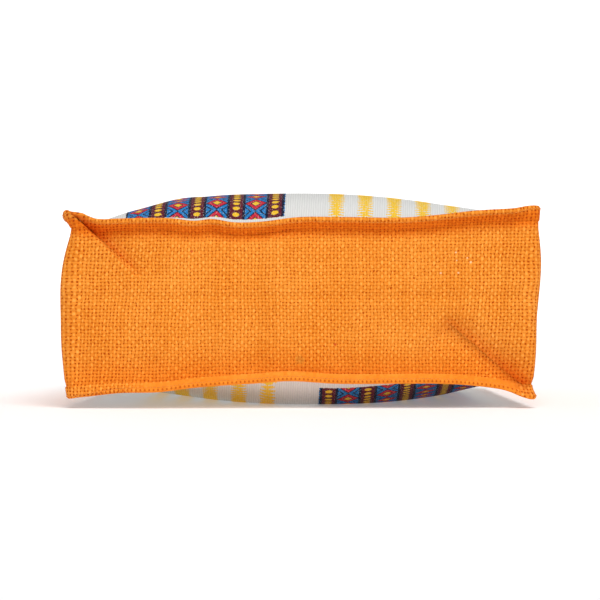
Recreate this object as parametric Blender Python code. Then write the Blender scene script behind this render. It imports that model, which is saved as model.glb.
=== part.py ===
"""Gusseted burlap bag with turned-out seams, lying on its back panel.

The sizes below are in metres in the bag's own frame: the base faces -Y and stands
upright at y = 0, the mouth opens towards +Y, X runs along the base and Z is up. The back
panel's belly rests on the floor at z = 0. The finished pieces are moved by TO_ORIGIN, so
that the part's origin is on the floor under the middle of the whole.

One strip of burlap, the gusset, makes the base and both sides. It meets each printed
panel along a seam whose edges are turned outwards: the strip folds round the panel's
edge and comes back on the panel's side, which leaves a lip of three layers.
"""

import math

import bpy
import numpy as np

# Cloth
GUSSET_CLOTH = 0.0012
PANEL_CLOTH = 0.0012
STRAP_CLOTH = 0.0024
LAYER_GAP = 0.00035

# The bag's main sizes
BAG_HEIGHT = 0.330  # from the base to the mouth, which is along Y as the bag lies
BASE_HALF_LENGTH = 0.1645  # from the middle of the base to its side seam
CORNER_RADIUS = 0.007
LEAN = 0.05  # how far the upper seams stand to the right of the lower ones, per metre up
LEAN_HEIGHT = 0.070
TO_ORIGIN = (0.0004, -0.2290, 0)

# The turned-out lip of a seam
LIP_LENGTH = 0.0095
LIP_TILT = math.radians(45)
LIP_RISE = LIP_LENGTH * math.sin(LIP_TILT) + GUSSET_CLOTH / 2
LIP_TURNBACK = 0.0035  # where the folded-back layer ends, from the seam
PANEL_SET_BACK = 0.0007  # how far the panel's edge stays behind the lip's fold
PANEL_BEND = 0.0012  # how far out in the lip the panel turns towards its field
HEM_DEPTH = 0.022

# Lips at the base's corners and along the sides, in metres and degrees: the upper left
# corner is an ear and the lower right one a point. A shift moves a corner along X.
CORNER_LIPS = {
    ("top", "left"): {"length": 0.0132, "tilt": 62, "side_tilt": 50, "shift": -0.0030},
    ("top", "right"): {"length": 0.0100, "tilt": 80, "side_tilt": 78, "shift": 0.0015},
    ("bottom", "left"): {"length": 0.0095, "tilt": 80, "side_tilt": 82, "shift": 0.0000},
    ("bottom", "right"): {"length": 0.0112, "tilt": 72, "side_tilt": 78, "shift": 0.0030},
}
SHIFT_HEIGHT = 0.135  # where a top corner's shift is full, and a bottom corner's gone
SHIFT_POWER = 6  # how near the base's ends the shifts stay
CORNER_REACH = 0.010  # how far along the seam a corner changes its lip
CORNER_INSET = 0.3 * CORNER_RADIUS  # from the base's outer edges to a corner's middle

# Heights of the lips' edges over the floor along the base, from the left ear to the right
BASE_EDGE = dict(zip(("x", "top", "bottom"), np.array([
    (-0.1640, 0.1372, 0.0090),
    (-0.1500, 0.1364, 0.0093),
    (-0.1320, 0.1354, 0.0116),
    (-0.0970, 0.1356, 0.0125),
    (-0.0780, 0.1338, 0.0150),
    (-0.0680, 0.1350, 0.0160),
    (-0.0520, 0.1327, 0.0172),
    (-0.0330, 0.1330, 0.0184),
    (-0.0070, 0.1362, 0.0202),
    (0.0260, 0.1364, 0.0184),
    (0.0740, 0.1363, 0.0184),
    (0.0980, 0.1384, 0.0184),
    (0.1160, 0.1406, 0.0176),
    (0.1400, 0.1422, 0.0148),
    (0.1640, 0.1424, 0.0100),
]).T))

# Sections along the bag. Rises are over the base's upper seam, tucks are how far the
# middle of a side stands out of its seams, and a tuck under 0 is folded inwards.
SECTIONS = dict(zip(
    ("y", "half_width", "crest_rise", "side_rise", "side_floor", "tuck_left", "tuck_right"),
    np.array([
        (0.000, 0.1645, 0.0000, 0.0000, 0.0150, 0.0065, 0.0032),
        (0.030, 0.1645, 0.0172, -0.0002, 0.0140, 0.0065, 0.0032),
        (0.070, 0.1640, 0.0238, -0.0022, 0.0135, 0.0030, 0.0015),
        (0.120, 0.1630, 0.0256, -0.0060, 0.0130, -0.0060, -0.0060),
        (0.180, 0.1620, 0.0210, -0.0120, 0.0130, -0.0160, -0.0150),
        (0.250, 0.1610, 0.0075, -0.0210, 0.0130, -0.0260, -0.0240),
        (0.330, 0.1605, -0.0125, -0.0310, 0.0130, -0.0340, -0.0320),
    ]).T,
))
SIDE_SKEW = 1.3  # 1 is an even arc, and more has its fullest place higher up
TUCK_SOFTNESS = 0.1  # how round the inward fold is, as a share of the side's half height
CREST_X = -0.035  # the front panel's highest line is left of the middle
CREST_POWER = 2.6
EDGE_FADE = 0.050  # how far the base edge's own waves run into the front panel
BELLY_X = 0.012  # the back panel's belly is right of the middle
BELLY_START = 0.065  # where the back panel meets the floor, at the belly's middle
BELLY_SPREAD = 0.170  # how much later it does BELLY_UNIT from there
BELLY_UNIT = 0.100
BELLY_POWER = 2.6
SIDE_RAMP = 0.050  # the strip along a side seam where the back panel rises off the floor
RING_INSET = 0.45 * CORNER_RADIUS  # a panel's first row of points, inside its seam

# The base's own shape: a slight bulge, and two folds given as lines in x and z
BASE_BULGE = 0.0065
BULGE_ROUNDNESS = 0.9
BULGE_END_LOSS = 0.6  # how much less it bulges at the base's ends
FOLD_CLEAR_OF_SEAM = 0.10  # the share of the wall's height where folds die out at a seam
LEFT_FOLD = {
    "start": (-0.1640, 0.1380), "end": (-0.1255, 0.1015), "depth": 0.0095,
    "step": 0.0035, "recess": 0.0160, "lead": 0.4, "fade": 0.8,
}
RIGHT_FOLD = {
    "start": (0.1005, 0.0650), "end": (0.1640, 0.0120), "depth": 0.0110,
    "above": 0.0060, "below": 0.0200, "full_at": 0.65, "fades_at": 1.0, "fade": 0.4,
    "start_width": 0.5,
}

# Handles
STRAP_WIDTH = 0.028
STRAP_STEPS = 44
HANDLE_X = 0.060
HANDLE_TUCK = 0.040
HANDLE_PAST_MOUTH = 0.004
UNDER_HEM = PANEL_CLOTH * 1.5 + 3 * LAYER_GAP + STRAP_CLOTH / 2

# How finely the cloth is divided
BASE_STEPS = 36
BASE_CLOSENESS = 0.30  # how much closer together the steps get towards the ends
CORNER_STEPS = 4
SIDE_STEPS = 12
SIDE_CLOSENESS = 1.3
WALL_STEPS = 14
WALL_CLOSENESS = 0.18

LEFT, RIGHT = -1, 1
UP, DOWN = 1, -1


def read(table, key, column, at):
    """A table's column at some places, on a smooth curve through its rows."""
    places, values = table[key], table[column]
    slopes = np.gradient(values, places)
    at = np.clip(at, places[0], places[-1])
    row = np.clip(np.searchsorted(places, at) - 1, 0, len(places) - 2)
    step = places[row + 1] - places[row]
    t = (at - places[row]) / step
    return (
        values[row] * (1 + 2 * t) * (1 - t) ** 2
        + values[row + 1] * (3 - 2 * t) * t**2
        + slopes[row] * step * t * (1 - t) ** 2
        - slopes[row + 1] * step * (1 - t) * t**2
    )


def section(column, y):
    return read(SECTIONS, "y", column, y)


def eased(t):
    t = np.clip(t, 0, 1)
    return t * t * (3 - 2 * t)


def closer_at_ends(steps, closeness):
    """Places from -1 to 1, closer together towards both ends."""
    even = np.linspace(-1, 1, steps + 1)
    return even * (1 + closeness) - even**3 * closeness


# The two panels as heights over the floor


def front_height(x, y):
    """The front panel's underside: low at the seams, with its crest left of the middle."""
    at_base = read(BASE_EDGE, "x", "top", x) - LIP_RISE
    left, right = BASE_EDGE["top"][[0, -1]] - LIP_RISE
    straight = left + (right - left) * (x / BASE_HALF_LENGTH + 1) / 2
    near = np.exp(-((y / EDGE_FADE) ** 2))
    half = section("half_width", y)
    off_crest = (x - CREST_X) / np.where(x > CREST_X, half - CREST_X, half + CREST_X)
    hill = 1 - np.clip(np.abs(off_crest), 0, 1) ** CREST_POWER
    rise = section("crest_rise", y) * hill + section("side_rise", y) * (1 - hill)
    return at_base * near + straight * (1 - near) + rise


def back_height(x, y):
    """The back panel's underside: 0 where it lies on the floor, and raised to its seams."""
    at_base = read(BASE_EDGE, "x", "bottom", x) + LIP_RISE - PANEL_CLOTH
    off_belly = np.abs(x - BELLY_X) / BELLY_UNIT
    meets_floor = BELLY_START + BELLY_SPREAD * off_belly**BELLY_POWER
    base_ramp = np.clip(1 - y / meets_floor, 0, 1) ** 2
    from_side = section("half_width", y) - np.abs(x)
    side_ramp = np.clip(1 - from_side / SIDE_RAMP, 0, 1) ** 2
    return at_base * base_ramp + section("side_floor", y) * side_ramp * (1 - base_ramp)


def front_surface(x, y):
    return front_height(x, y) + PANEL_CLOTH / 2


def back_surface(x, y):
    return back_height(x, y) + PANEL_CLOTH / 2


def leaned(x, z):
    """X with the bag's lean to the right, and with its corners where they stand."""
    shift = {name: corner["shift"] for name, corner in CORNER_LIPS.items()}
    up = np.clip(z / SHIFT_HEIGHT, 0, 1)
    left = shift["bottom", "left"] * (1 - up) + shift["top", "left"] * up
    right = shift["bottom", "right"] * (1 - up) + shift["top", "right"] * up
    outward = np.abs(x / BASE_HALF_LENGTH) ** SHIFT_POWER
    return x + LEAN * (z - LEAN_HEIGHT) + np.where(x < 0, left, right) * outward


def on_surface(surface, x, y):
    """Points of a panel's middle surface."""
    x, y = np.broadcast_arrays(x, y)
    z = surface(x, y)
    return np.stack([leaned(x, z), y, z], -1)


# The seam's route in plan: from the left side's mouth, round the base, to the right side's


def side_places():
    """Distances from the base, close together near it, down the side from the mouth."""
    share = np.linspace(1, 0, SIDE_STEPS + 1) ** SIDE_CLOSENESS
    return CORNER_RADIUS + (BAG_HEIGHT - CORNER_RADIUS) * share


def hem_places():
    """Distances from the base of the mouth, the hem's middle and its end."""
    return BAG_HEIGHT - np.array([0, HEM_DEPTH / 2, HEM_DEPTH])


def stations_at_side(side, y):
    return {
        "x": side * section("half_width", y),
        "y": y,
        "turn": np.full(len(y), side * math.pi / 2),
    }


def stations():
    """Each station's x, y and turn, which is -90 degrees on the left side, 0 at the base."""
    straight = BASE_HALF_LENGTH - CORNER_RADIUS
    left = stations_at_side(LEFT, side_places())
    right = stations_at_side(RIGHT, side_places()[::-1])
    turns = np.linspace(0, math.pi / 2, CORNER_STEPS + 1)[1:-1]
    corner_x = straight + CORNER_RADIUS * np.sin(turns)
    corner_y = CORNER_RADIUS * (1 - np.cos(turns))
    base_x = straight * closer_at_ends(BASE_STEPS, BASE_CLOSENESS)
    flat = np.zeros(len(base_x))
    return {
        "x": np.concatenate([left["x"], -corner_x[::-1], base_x, corner_x, right["x"]]),
        "y": np.concatenate([left["y"], corner_y[::-1], flat, corner_y, right["y"]]),
        "turn": np.concatenate([left["turn"], -turns[::-1], flat, turns, right["turn"]]),
    }


def seam_heights(route):
    """The heights of the back panel's seam and of the front panel's."""
    low = back_height(route["x"], route["y"]) + PANEL_CLOTH
    high = front_height(route["x"], route["y"])
    return low, high


def at_corner(route, side):
    """1 at a corner of the base, falling to 0 a little way along the seam."""
    corner_x = side * (BASE_HALF_LENGTH - CORNER_INSET)
    away = np.hypot(route["x"] - corner_x, route["y"] - CORNER_INSET)
    return np.exp(-((away / CORNER_REACH) ** 2))


def lip_of(route, level):
    """The lip's way out, its way across, its straight length and its fold's radius."""
    name = "top" if level == UP else "bottom"
    length = np.full(len(route["x"]), LIP_LENGTH)
    tilt = np.full(len(route["x"]), LIP_TILT)
    for side, side_name in ((LEFT, "left"), (RIGHT, "right")):
        corner = CORNER_LIPS[name, side_name]
        on_side = np.sin(route["turn"]) ** 2 * (np.sign(route["turn"]) == side)
        tilt += on_side * (math.radians(corner["side_tilt"]) - tilt)
        tilt += at_corner(route, side) * (math.radians(corner["tilt"]) - tilt)
        length += at_corner(route, side) * (corner["length"] - LIP_LENGTH)
    out = np.stack([np.cos(tilt), level * np.sin(tilt)], -1)
    across = np.stack([np.sin(tilt), -level * np.cos(tilt)], -1)
    fold_radius = (GUSSET_CLOTH + PANEL_CLOTH) / 2 + LAYER_GAP
    return out, across, length - fold_radius - GUSSET_CLOTH / 2, fold_radius


def placed(route, out, z):
    """Points at a distance out of the seam's route in plan, and at a height."""
    x = route["x"] + np.sin(route["turn"]) * out
    y = route["y"] - np.cos(route["turn"]) * out
    return np.stack([leaned(x, z), y, z], -1)


# The gusset's wall between its two seams


def beside(fold, x, z):
    """How far along a fold's line some places are, as a share, and how far above it."""
    (start_x, start_z), (end_x, end_z) = fold["start"], fold["end"]
    length = math.hypot(end_x - start_x, end_z - start_z)
    along_x, along_z = (end_x - start_x) / length, (end_z - start_z) / length
    share = ((x - start_x) * along_x + (z - start_z) * along_z) / length
    above = (z - start_z) * along_x - (x - start_x) * along_z
    return share, above


def left_fold(x, z):
    """A ridge with a recess above it, deep at the ear and fading down the base."""
    fold = LEFT_FOLD
    share, above = beside(fold, x, z)
    strength = np.clip(1 - share, 0, 1) ** fold["fade"] * eased(1 + share / fold["lead"])
    reach = np.where(above > 0, fold["recess"], fold["step"])
    return fold["depth"] * strength * np.exp(-np.abs(above) / reach)


def right_fold(x, z):
    """A valley with a steep upper side, widening towards the lower right point."""
    fold = RIGHT_FOLD
    share, above = beside(fold, x, z)
    strength = eased(share / fold["full_at"]) * eased(1 - (share - fold["fades_at"]) / fold["fade"])
    widening = fold["above"] * (fold["start_width"] + np.clip(share, 0, 1))
    reach = np.where(above > 0, widening, fold["below"])
    return fold["depth"] * strength * np.exp(-np.abs(above) / reach)


def wall(route, share):
    """The gusset's wall at shares of the way up: how far it stands out, and its height."""
    x, y, turn = (route[name][:, None] for name in ("x", "y", "turn"))
    low, high = (height[:, None] for height in seam_heights(route))
    z = low + (high - low) * share
    arch = np.sin(math.pi * share)

    tuck = np.where(turn < 0, section("tuck_left", y), section("tuck_right", y))
    middle = 2 * share - 1
    vee = math.hypot(1, TUCK_SOFTNESS) - np.hypot(middle, TUCK_SOFTNESS)
    vee = vee / (math.hypot(1, TUCK_SOFTNESS) - TUCK_SOFTNESS)
    at_side = tuck * np.where(tuck > 0, np.sin(math.pi * share**SIDE_SKEW), vee)

    end_loss = BULGE_END_LOSS * (x / BASE_HALF_LENGTH) ** 4
    bulge = BASE_BULGE * arch**BULGE_ROUNDNESS * (1 - end_loss)
    clear = eased(np.minimum(share, 1 - share) / FOLD_CLEAR_OF_SEAM)
    at_base = bulge - (left_fold(leaned(x, z), z) + right_fold(leaned(x, z), z)) * clear

    is_side = np.sin(turn) ** 2
    return at_side * is_side + at_base * (1 - is_side), z


# Sheets: grids of points made into faces, then given their thickness


class Sheet:
    """Points and triangles of a cloth's middle surface."""

    def __init__(self):
        self.points, self.faces = [], []

    def add(self, points):
        """Adds a grid of points and gives their numbers, in the grid's shape."""
        first = len(self.points)
        self.points.extend(points.reshape(-1, 3).tolist())
        return np.arange(first, len(self.points)).reshape(points.shape[:-1])

    def cover(self, grid, other_way=False, inside_out=False):
        """Covers a grid of point numbers with triangles, leaving out those with no area."""
        a, b, c, d = grid[:-1, :-1], grid[1:, :-1], grid[1:, 1:], grid[:-1, 1:]
        halves = ((a, b, d), (b, c, d)) if other_way else ((a, b, c), (a, c, d))
        for half in halves:
            for face in np.stack(half, -1).reshape(-1, 3).tolist():
                if len(set(face)) == 3:
                    self.faces.append(face[::-1] if inside_out else face)

    def made(self, name, material, thickness):
        """The cloth as an object, with its thickness on both sides of the surface."""
        obj = object_of(name, material, self.points, self.faces)
        obj.data.shade_smooth()
        solid = obj.modifiers.new("Thickness", "SOLIDIFY")
        solid.thickness = thickness
        solid.offset = 0
        solid.use_even_offset = True
        return obj


def object_of(name, material, points, faces):
    mesh = bpy.data.meshes.new(name)
    mesh.from_pydata(points, [], faces)
    obj = bpy.data.objects.new(name, mesh)
    obj.location = TO_ORIGIN
    obj.data.materials.append(material)
    bpy.context.collection.objects.link(obj)
    return obj


def lip_points(route, seam_z, level):
    """The gusset's lip from the seam round its fold, as a list of rows of points."""
    out, across, straight, radius = lip_of(route, level)
    front = (LAYER_GAP + GUSSET_CLOTH) / 2
    fold = front - radius
    back = front - 2 * radius
    rows = []
    for reach, side in (
        (0, front),
        (straight, front),
        (straight + radius, fold),
        (straight, back),
        (LIP_TURNBACK, back),
    ):
        flat = out * np.reshape(reach, (-1, 1)) + across * side
        rows.append(placed(route, flat[:, 0], seam_z + flat[:, 1]))
    return rows


def folded_hem(points, inward, tip_way):
    """Rows of a hem: from the mouth round its fold and back along the inside.

    points holds the rows at the mouth and at two places inside it, inward their
    directions into the bag, and tip_way is the way out of the mouth.
    """
    radius = (GUSSET_CLOTH + LAYER_GAP) / 2
    rows = [points[0] + inward[0] * radius + tip_way * radius]
    rows += [row + way * 2 * radius for row, way in zip(points, inward)]
    return np.stack(rows)


def gusset(material):
    """The burlap strip that makes the base and both sides, with its lips and hems."""
    route = stations()
    low, high = seam_heights(route)
    share = (closer_at_ends(WALL_STEPS, WALL_CLOSENESS)[1:-1] + 1) / 2
    out, z = wall(route, share)
    wall_rows = [placed(route, out[:, k], z[:, k]) for k in range(len(share))]
    lower_lip = lip_points(route, low, DOWN)[::-1]
    sheet = Sheet()
    grid = sheet.add(np.stack(lower_lip + wall_rows + lip_points(route, high, UP), 1))
    last = grid.shape[1] - 1
    sheet.cover(grid[:, :2], other_way=True)
    sheet.cover(grid[:, 1:last])
    sheet.cover(grid[:, last - 1 :], other_way=True)

    wall_part = slice(len(lower_lip), len(lower_lip) + len(share))
    for side, mouth_row in ((LEFT, 0), (RIGHT, -1)):
        inner = stations_at_side(side, hem_places())
        out, z = wall(inner, share)
        slope_out, slope_z = np.gradient(out, axis=1), np.gradient(z, axis=1)
        size = np.hypot(slope_out, slope_z)
        inward = [-side * slope_z / size, np.zeros_like(size), slope_out / size]
        points = [placed(inner, out[:, k], z[:, k]) for k in range(len(share))]
        hem = folded_hem(np.stack(points, 1), np.stack(inward, -1), np.array([0, 1, 0]))
        hem = np.concatenate([grid[mouth_row, wall_part][None, :], sheet.add(hem)])
        sheet.cover(hem, inside_out=side == LEFT)
    return sheet.made("gusset", material, GUSSET_CLOTH)


def panel(name, material, surface, level):
    """A printed panel: its field, the strip to the seam, its edge in the lip, its hem."""
    route = stations()
    low, high = seam_heights(route)
    seam_z = high if level == UP else low
    way_out, across, straight, _ = lip_of(route, level)
    aside = -(LAYER_GAP + PANEL_CLOTH) / 2
    edge_rows = []
    for reach in (straight - PANEL_SET_BACK, np.full_like(straight, PANEL_BEND)):
        flat = way_out * reach[:, None] + across * aside
        edge_rows.append(placed(route, flat[:, 0], seam_z + flat[:, 1]))
    ring_x = route["x"] - np.sin(route["turn"]) * RING_INSET
    ring_y = route["y"] + np.cos(route["turn"]) * RING_INSET
    edge_rows.append(on_surface(surface, ring_x, ring_y))

    def field(y):
        across_share = closer_at_ends(BASE_STEPS, BASE_CLOSENESS)
        return on_surface(
            surface, across_share[:, None] * (section("half_width", y) - CORNER_RADIUS), y
        )

    sheet = Sheet()
    grid = sheet.add(field(side_places()[::-1]))
    edge = sheet.add(np.stack(edge_rows, 1))
    rim = np.concatenate([
        grid[0, ::-1],
        np.full(CORNER_STEPS - 1, grid[0, 0]),
        grid[:, 0],
        np.full(CORNER_STEPS - 1, grid[-1, 0]),
        grid[-1, :],
    ])
    turned = level == DOWN
    sheet.cover(grid, inside_out=turned)
    strip = np.concatenate([edge, rim[:, None]], 1)
    sheet.cover(strip, other_way=not turned, inside_out=turned)

    points = field(hem_places())
    small = 0.001
    along_y = field(hem_places() + small / 2) - field(hem_places() - small / 2)
    inward = -level * np.cross(np.gradient(points, axis=0), along_y)
    inward /= np.linalg.norm(inward, axis=-1, keepdims=True)
    tip_way = along_y[:, 0] / np.linalg.norm(along_y[:, 0], axis=-1, keepdims=True)
    hem = folded_hem(points.swapaxes(0, 1), inward.swapaxes(0, 1), tip_way)
    hem = np.concatenate([grid[:, -1:], sheet.add(hem.swapaxes(0, 1))], 1)
    sheet.cover(hem, inside_out=turned)
    return sheet.made(name, material, PANEL_CLOTH)


# Handles


def strap(name, material, rows):
    """A flat strap along rows of a place and the way that its face looks there."""
    rows = np.array(rows, float)
    lengths = np.linalg.norm(np.diff(rows[:, :3], axis=0), axis=1)
    route = {"at": np.concatenate([[0], np.cumsum(lengths)])}
    route.update((column, rows[:, column]) for column in range(6))
    at = np.linspace(0, route["at"][-1], STRAP_STEPS + 1)
    line, facing = (
        np.stack([read(route, "at", column, at) for column in columns], -1)
        for columns in (range(3), range(3, 6))
    )
    line[:, 2] = np.maximum(line[:, 2], STRAP_CLOTH / 2)
    tangent = np.gradient(line, axis=0)
    across = np.cross(facing, tangent)
    across /= np.linalg.norm(across, axis=1, keepdims=True)
    normal = np.cross(tangent, across)
    normal /= np.linalg.norm(normal, axis=1, keepdims=True)
    corners = [
        line + across * side * STRAP_WIDTH / 2 + normal * face * STRAP_CLOTH / 2
        for side, face in ((-1, -1), (-1, 1), (1, 1), (1, -1))
    ]
    points = np.stack(corners, 1).reshape(-1, 3)
    rings = np.arange(len(points)).reshape(-1, 4)
    faces = [rings[0].tolist(), rings[-1, ::-1].tolist()]
    for start, end in zip(rings[:-1].tolist(), rings[1:].tolist()):
        for k in range(4):
            after = (k + 1) % 4
            faces.append([start[after], start[k], end[k], end[after]])
    return object_of(name, material, points.tolist(), faces)


def tucked_rows(surface, level, side):
    """The end of a strap, against the inside of a panel's hem, up to just past the mouth."""
    small = 0.002
    x = side * HANDLE_X
    rows = []
    for y in BAG_HEIGHT - np.linspace(HANDLE_TUCK, 0, 6):
        slope_x = (surface(x + small, y) - surface(x - small, y)) / (2 * small)
        slope_y = (surface(x, y) - surface(x, y - small)) / small
        up = np.array([-slope_x, -slope_y, 1]) / math.hypot(slope_x, slope_y, 1)
        place = on_surface(surface, x, y) - level * up * UNDER_HEM
        rows.append((*place, *up))
    past = place + np.array([0, 1, slope_y]) * HANDLE_PAST_MOUTH
    return rows + [(*past, *up)]


def handle(name, material, surface, level, free_rows):
    """A handle from its left end to its right one, given the left half of its free part."""
    left = tucked_rows(surface, level, LEFT) + free_rows
    right = tucked_rows(surface, level, RIGHT)
    right += [(-x, *rest) for x, *rest in free_rows[:-1]]
    return strap(name, material, left + right[::-1])


def front_handle(material):
    """Hangs out of the mouth and down in front of it."""
    rows = [
        (-0.0590, 0.3520, 0.1050, 0, 0.5, 0.9),
        (-0.0590, 0.3680, 0.0930, 0, 0.8, 0.5),
        (-0.0560, 0.3760, 0.0740, 0, 1.0, 0.1),
        (-0.0460, 0.3800, 0.0490, 0, 1.0, 0.1),
        (-0.0260, 0.3815, 0.0320, 0, 0.9, 0.3),
        (0.0000, 0.3820, 0.0260, 0, 0.9, 0.4),
    ]
    return handle("front_handle", material, front_surface, UP, rows)


def back_handle(material):
    """Lies on the floor in front of the mouth."""
    outline = [
        (-0.0610, 0.3560),
        (-0.0615, 0.3750),
        (-0.0600, 0.3960),
        (-0.0500, 0.4240),
        (-0.0280, 0.4440),
        (0.0000, 0.4510),
    ]
    rows = [(x, y, STRAP_CLOTH / 2, 0, 0, 1) for x, y in outline]
    return handle("back_handle", material, back_surface, DOWN, rows)


def cloth_material(name, colour, roughness):
    material = bpy.data.materials.new(name)
    material.use_nodes = True
    shader = material.node_tree.nodes["Principled BSDF"]
    shader.inputs["Base Color"].default_value = (*colour, 1)
    shader.inputs["Roughness"].default_value = roughness
    shader.inputs["Metallic"].default_value = 0
    return material


def main():
    for obj in list(bpy.data.objects):
        bpy.data.objects.remove(obj)
    orange = cloth_material("orange_burlap", (0.87, 0.27, 0.02), 0.85)
    white = cloth_material("printed_cloth", (0.78, 0.77, 0.74), 0.8)
    gusset(orange)
    panel("front_panel", white, front_surface, UP)
    panel("back_panel", white, back_surface, DOWN)
    front_handle(orange)
    back_handle(orange)


main()
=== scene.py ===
"""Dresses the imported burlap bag: fine cloth sheets, weave, print, stitching and a stage.

The shape's sizes are those of the solids, in metres, in the bag's own frame: the base
faces -Y and stands at y = 0, the mouth opens towards +Y, X runs along the base and Z is
up from the floor. Finished points are moved by TO_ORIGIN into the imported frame.
"""

import math

import bpy
import numpy as np
from bpy.props import FloatProperty, FloatVectorProperty, IntProperty, PointerProperty
from bpy.types import Operator, Panel, PropertyGroup
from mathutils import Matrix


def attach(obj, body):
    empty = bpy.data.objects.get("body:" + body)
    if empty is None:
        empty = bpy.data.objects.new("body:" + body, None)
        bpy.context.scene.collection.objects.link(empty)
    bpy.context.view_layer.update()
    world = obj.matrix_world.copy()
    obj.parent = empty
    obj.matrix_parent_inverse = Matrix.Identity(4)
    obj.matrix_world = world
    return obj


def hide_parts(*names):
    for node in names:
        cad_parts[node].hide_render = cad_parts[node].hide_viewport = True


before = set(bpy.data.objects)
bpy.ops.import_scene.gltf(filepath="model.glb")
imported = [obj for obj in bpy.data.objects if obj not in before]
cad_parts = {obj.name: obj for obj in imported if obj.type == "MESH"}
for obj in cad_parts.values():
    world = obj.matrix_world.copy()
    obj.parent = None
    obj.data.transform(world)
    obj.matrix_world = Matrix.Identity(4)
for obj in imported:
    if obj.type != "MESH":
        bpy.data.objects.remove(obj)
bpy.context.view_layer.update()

bl_info = {
    "name": "Burlap Bag",
    "version": (1, 0, 0),
    "blender": (4, 5, 0),
    "location": "View3D > Sidebar > Burlap Bag",
    "description": "Builds a gusseted burlap bag with a printed front and back, lying on its back",
    "category": "Add Mesh",
}

CLOTH_MAP = "cloth"
SEAM_MAP = "seams"
BODY = "root"

LEFT, RIGHT = -1, 1
UP, DOWN = 1, -1

# Cloth, as in the solids
GUSSET_CLOTH = 0.0012
PANEL_CLOTH = 0.0012
STRAP_CLOTH = 0.0024
LAYER_GAP = 0.00035

# The bag's main sizes
BAG_HEIGHT = 0.330
BASE_HALF_LENGTH = 0.1645
CORNER_RADIUS = 0.007
LEAN = 0.05
LEAN_HEIGHT = 0.070
LEAN_REACH = 0.10
TO_ORIGIN = np.array([0.0004, -0.2290, 0])

# The turned-out lip of a seam
LIP_LENGTH = {UP: 0.0095, DOWN: 0.0072}
LIP_TILT = math.radians(45)
LIP_RISE = {
    level: length * math.sin(LIP_TILT) + GUSSET_CLOTH / 2 for level, length in LIP_LENGTH.items()}
LIP_TURNBACK = 0.0035
PANEL_SET_BACK = 0.0007
PANEL_BEND = 0.0012
HEM_DEPTH = 0.022

# The lip at each corner of the base, and how far the corner stands to the right of its place
CORNER_COLUMNS = ("length", "tilt", "side_tilt", "shift", "reach")
CORNERS = {corner: dict(zip(CORNER_COLUMNS, row)) for corner, row in {
    (UP, LEFT): (0.0132, 62, 50, -0.0030, 0.010),
    (UP, RIGHT): (0.0104, 88, 92, 0.0018, 0.010),
    (DOWN, LEFT): (0.0083, 103, 102, -0.0014, 0.024),
    (DOWN, RIGHT): (0.0095, 77, 89, 0.0051, 0.010),
}.items()}
SHIFT_HEIGHT = 0.135
SHIFT_POWER = 6
CORNER_INSET = 0.3 * CORNER_RADIUS

# Heights of the lips' edges over the floor along the base, from the left ear to the right
BASE_EDGE = dict(zip(("x", "top", "bottom"), np.array([
    (-0.1640, 0.1372, 0.0090),
    (-0.1500, 0.1350, 0.0108),
    (-0.1320, 0.1354, 0.0120),
    (-0.0970, 0.1356, 0.0125),
    (-0.0780, 0.1338, 0.0150),
    (-0.0680, 0.1350, 0.0160),
    (-0.0520, 0.1327, 0.0172),
    (-0.0330, 0.1330, 0.0184),
    (-0.0070, 0.1362, 0.0202),
    (0.0260, 0.1364, 0.0184),
    (0.0740, 0.1363, 0.0184),
    (0.0980, 0.1384, 0.0184),
    (0.1160, 0.1406, 0.0176),
    (0.1400, 0.1422, 0.0148),
    (0.1640, 0.1424, 0.0100),
]).T))

# Sections along the bag: rises over the base's upper seam, and how far a side's middle
# stands out of its seams, or is folded in where that is under 0
SECTIONS = dict(zip(
    ("y", "half_width", "crest_rise", "side_rise", "side_floor", "tuck_left", "tuck_right"),
    np.array([
        (0.000, 0.1645, 0.0000, 0.0000, 0.0150, 0.0070, 0.0038),
        (0.030, 0.1645, 0.0172, -0.0002, 0.0140, 0.0070, 0.0038),
        (0.070, 0.1640, 0.0238, -0.0022, 0.0135, 0.0030, 0.0015),
        (0.120, 0.1630, 0.0256, -0.0060, 0.0130, -0.0060, -0.0060),
        (0.180, 0.1620, 0.0210, -0.0120, 0.0130, -0.0160, -0.0150),
        (0.250, 0.1610, 0.0075, -0.0210, 0.0130, -0.0260, -0.0240),
        (0.330, 0.1605, -0.0125, -0.0310, 0.0130, -0.0340, -0.0320),
    ]).T,
))
LEFT_SKEW = 1.3
RIGHT_SKEW = 1.8
TUCK_SOFTNESS = 0.06
CREST_X = -0.035
CREST_POWER = 2.6
EDGE_FADE = 0.050
BELLY_X = 0.012
BELLY_START = 0.065
BELLY_SPREAD = 0.170
BELLY_UNIT = 0.100
BELLY_POWER = 2.6
SIDE_RAMP = 0.050
RING_INSETS = 0.1485 * CORNER_RADIUS, 0.45 * CORNER_RADIUS

# The base's bulge, its two folds and the line where it was folded flat for packing
BASE_BULGE = 0.0065
BULGE_ROUNDNESS = 0.9
BULGE_END_LOSS = 0.6
FOLD_CLEAR_OF_SEAM = 0.06
LEFT_FOLD = {
    "start": (-0.1655, 0.1400), "end": (-0.1160, 0.0930), "ridge": 0.0040, "ridge_width": 0.0300,
    "recess": 0.0110, "recess_width": 0.0110, "lead": 0.5, "fade": 0.45, "step": 0.0008,
    "depth": 0.0400, "lip_edge": 0.1440, "lip_fade": 0.0100, "pull": 0.8, "pull_width": 0.0030,
}
RIGHT_FOLD = {
    "start": (0.0990, 0.0670), "end": (0.1655, 0.0105), "depth": 0.0185,
    "above": 0.0125, "below": 0.0200, "full_at": 0.15, "fades_at": 1.0, "fade": 0.4,
    "start_share": 0.45, "start_width": 0.12, "softness": 0.0004, "pull": 0.8, "pull_width": 0.0018,
    "lip_edge": 0.0060, "lip_fade": 0.0095,
}
LAYER_STEP = 0.0016
PRESSED_LINE = {"height": 0.0806, "depth": 0.0006, "width": 0.0030}

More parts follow.
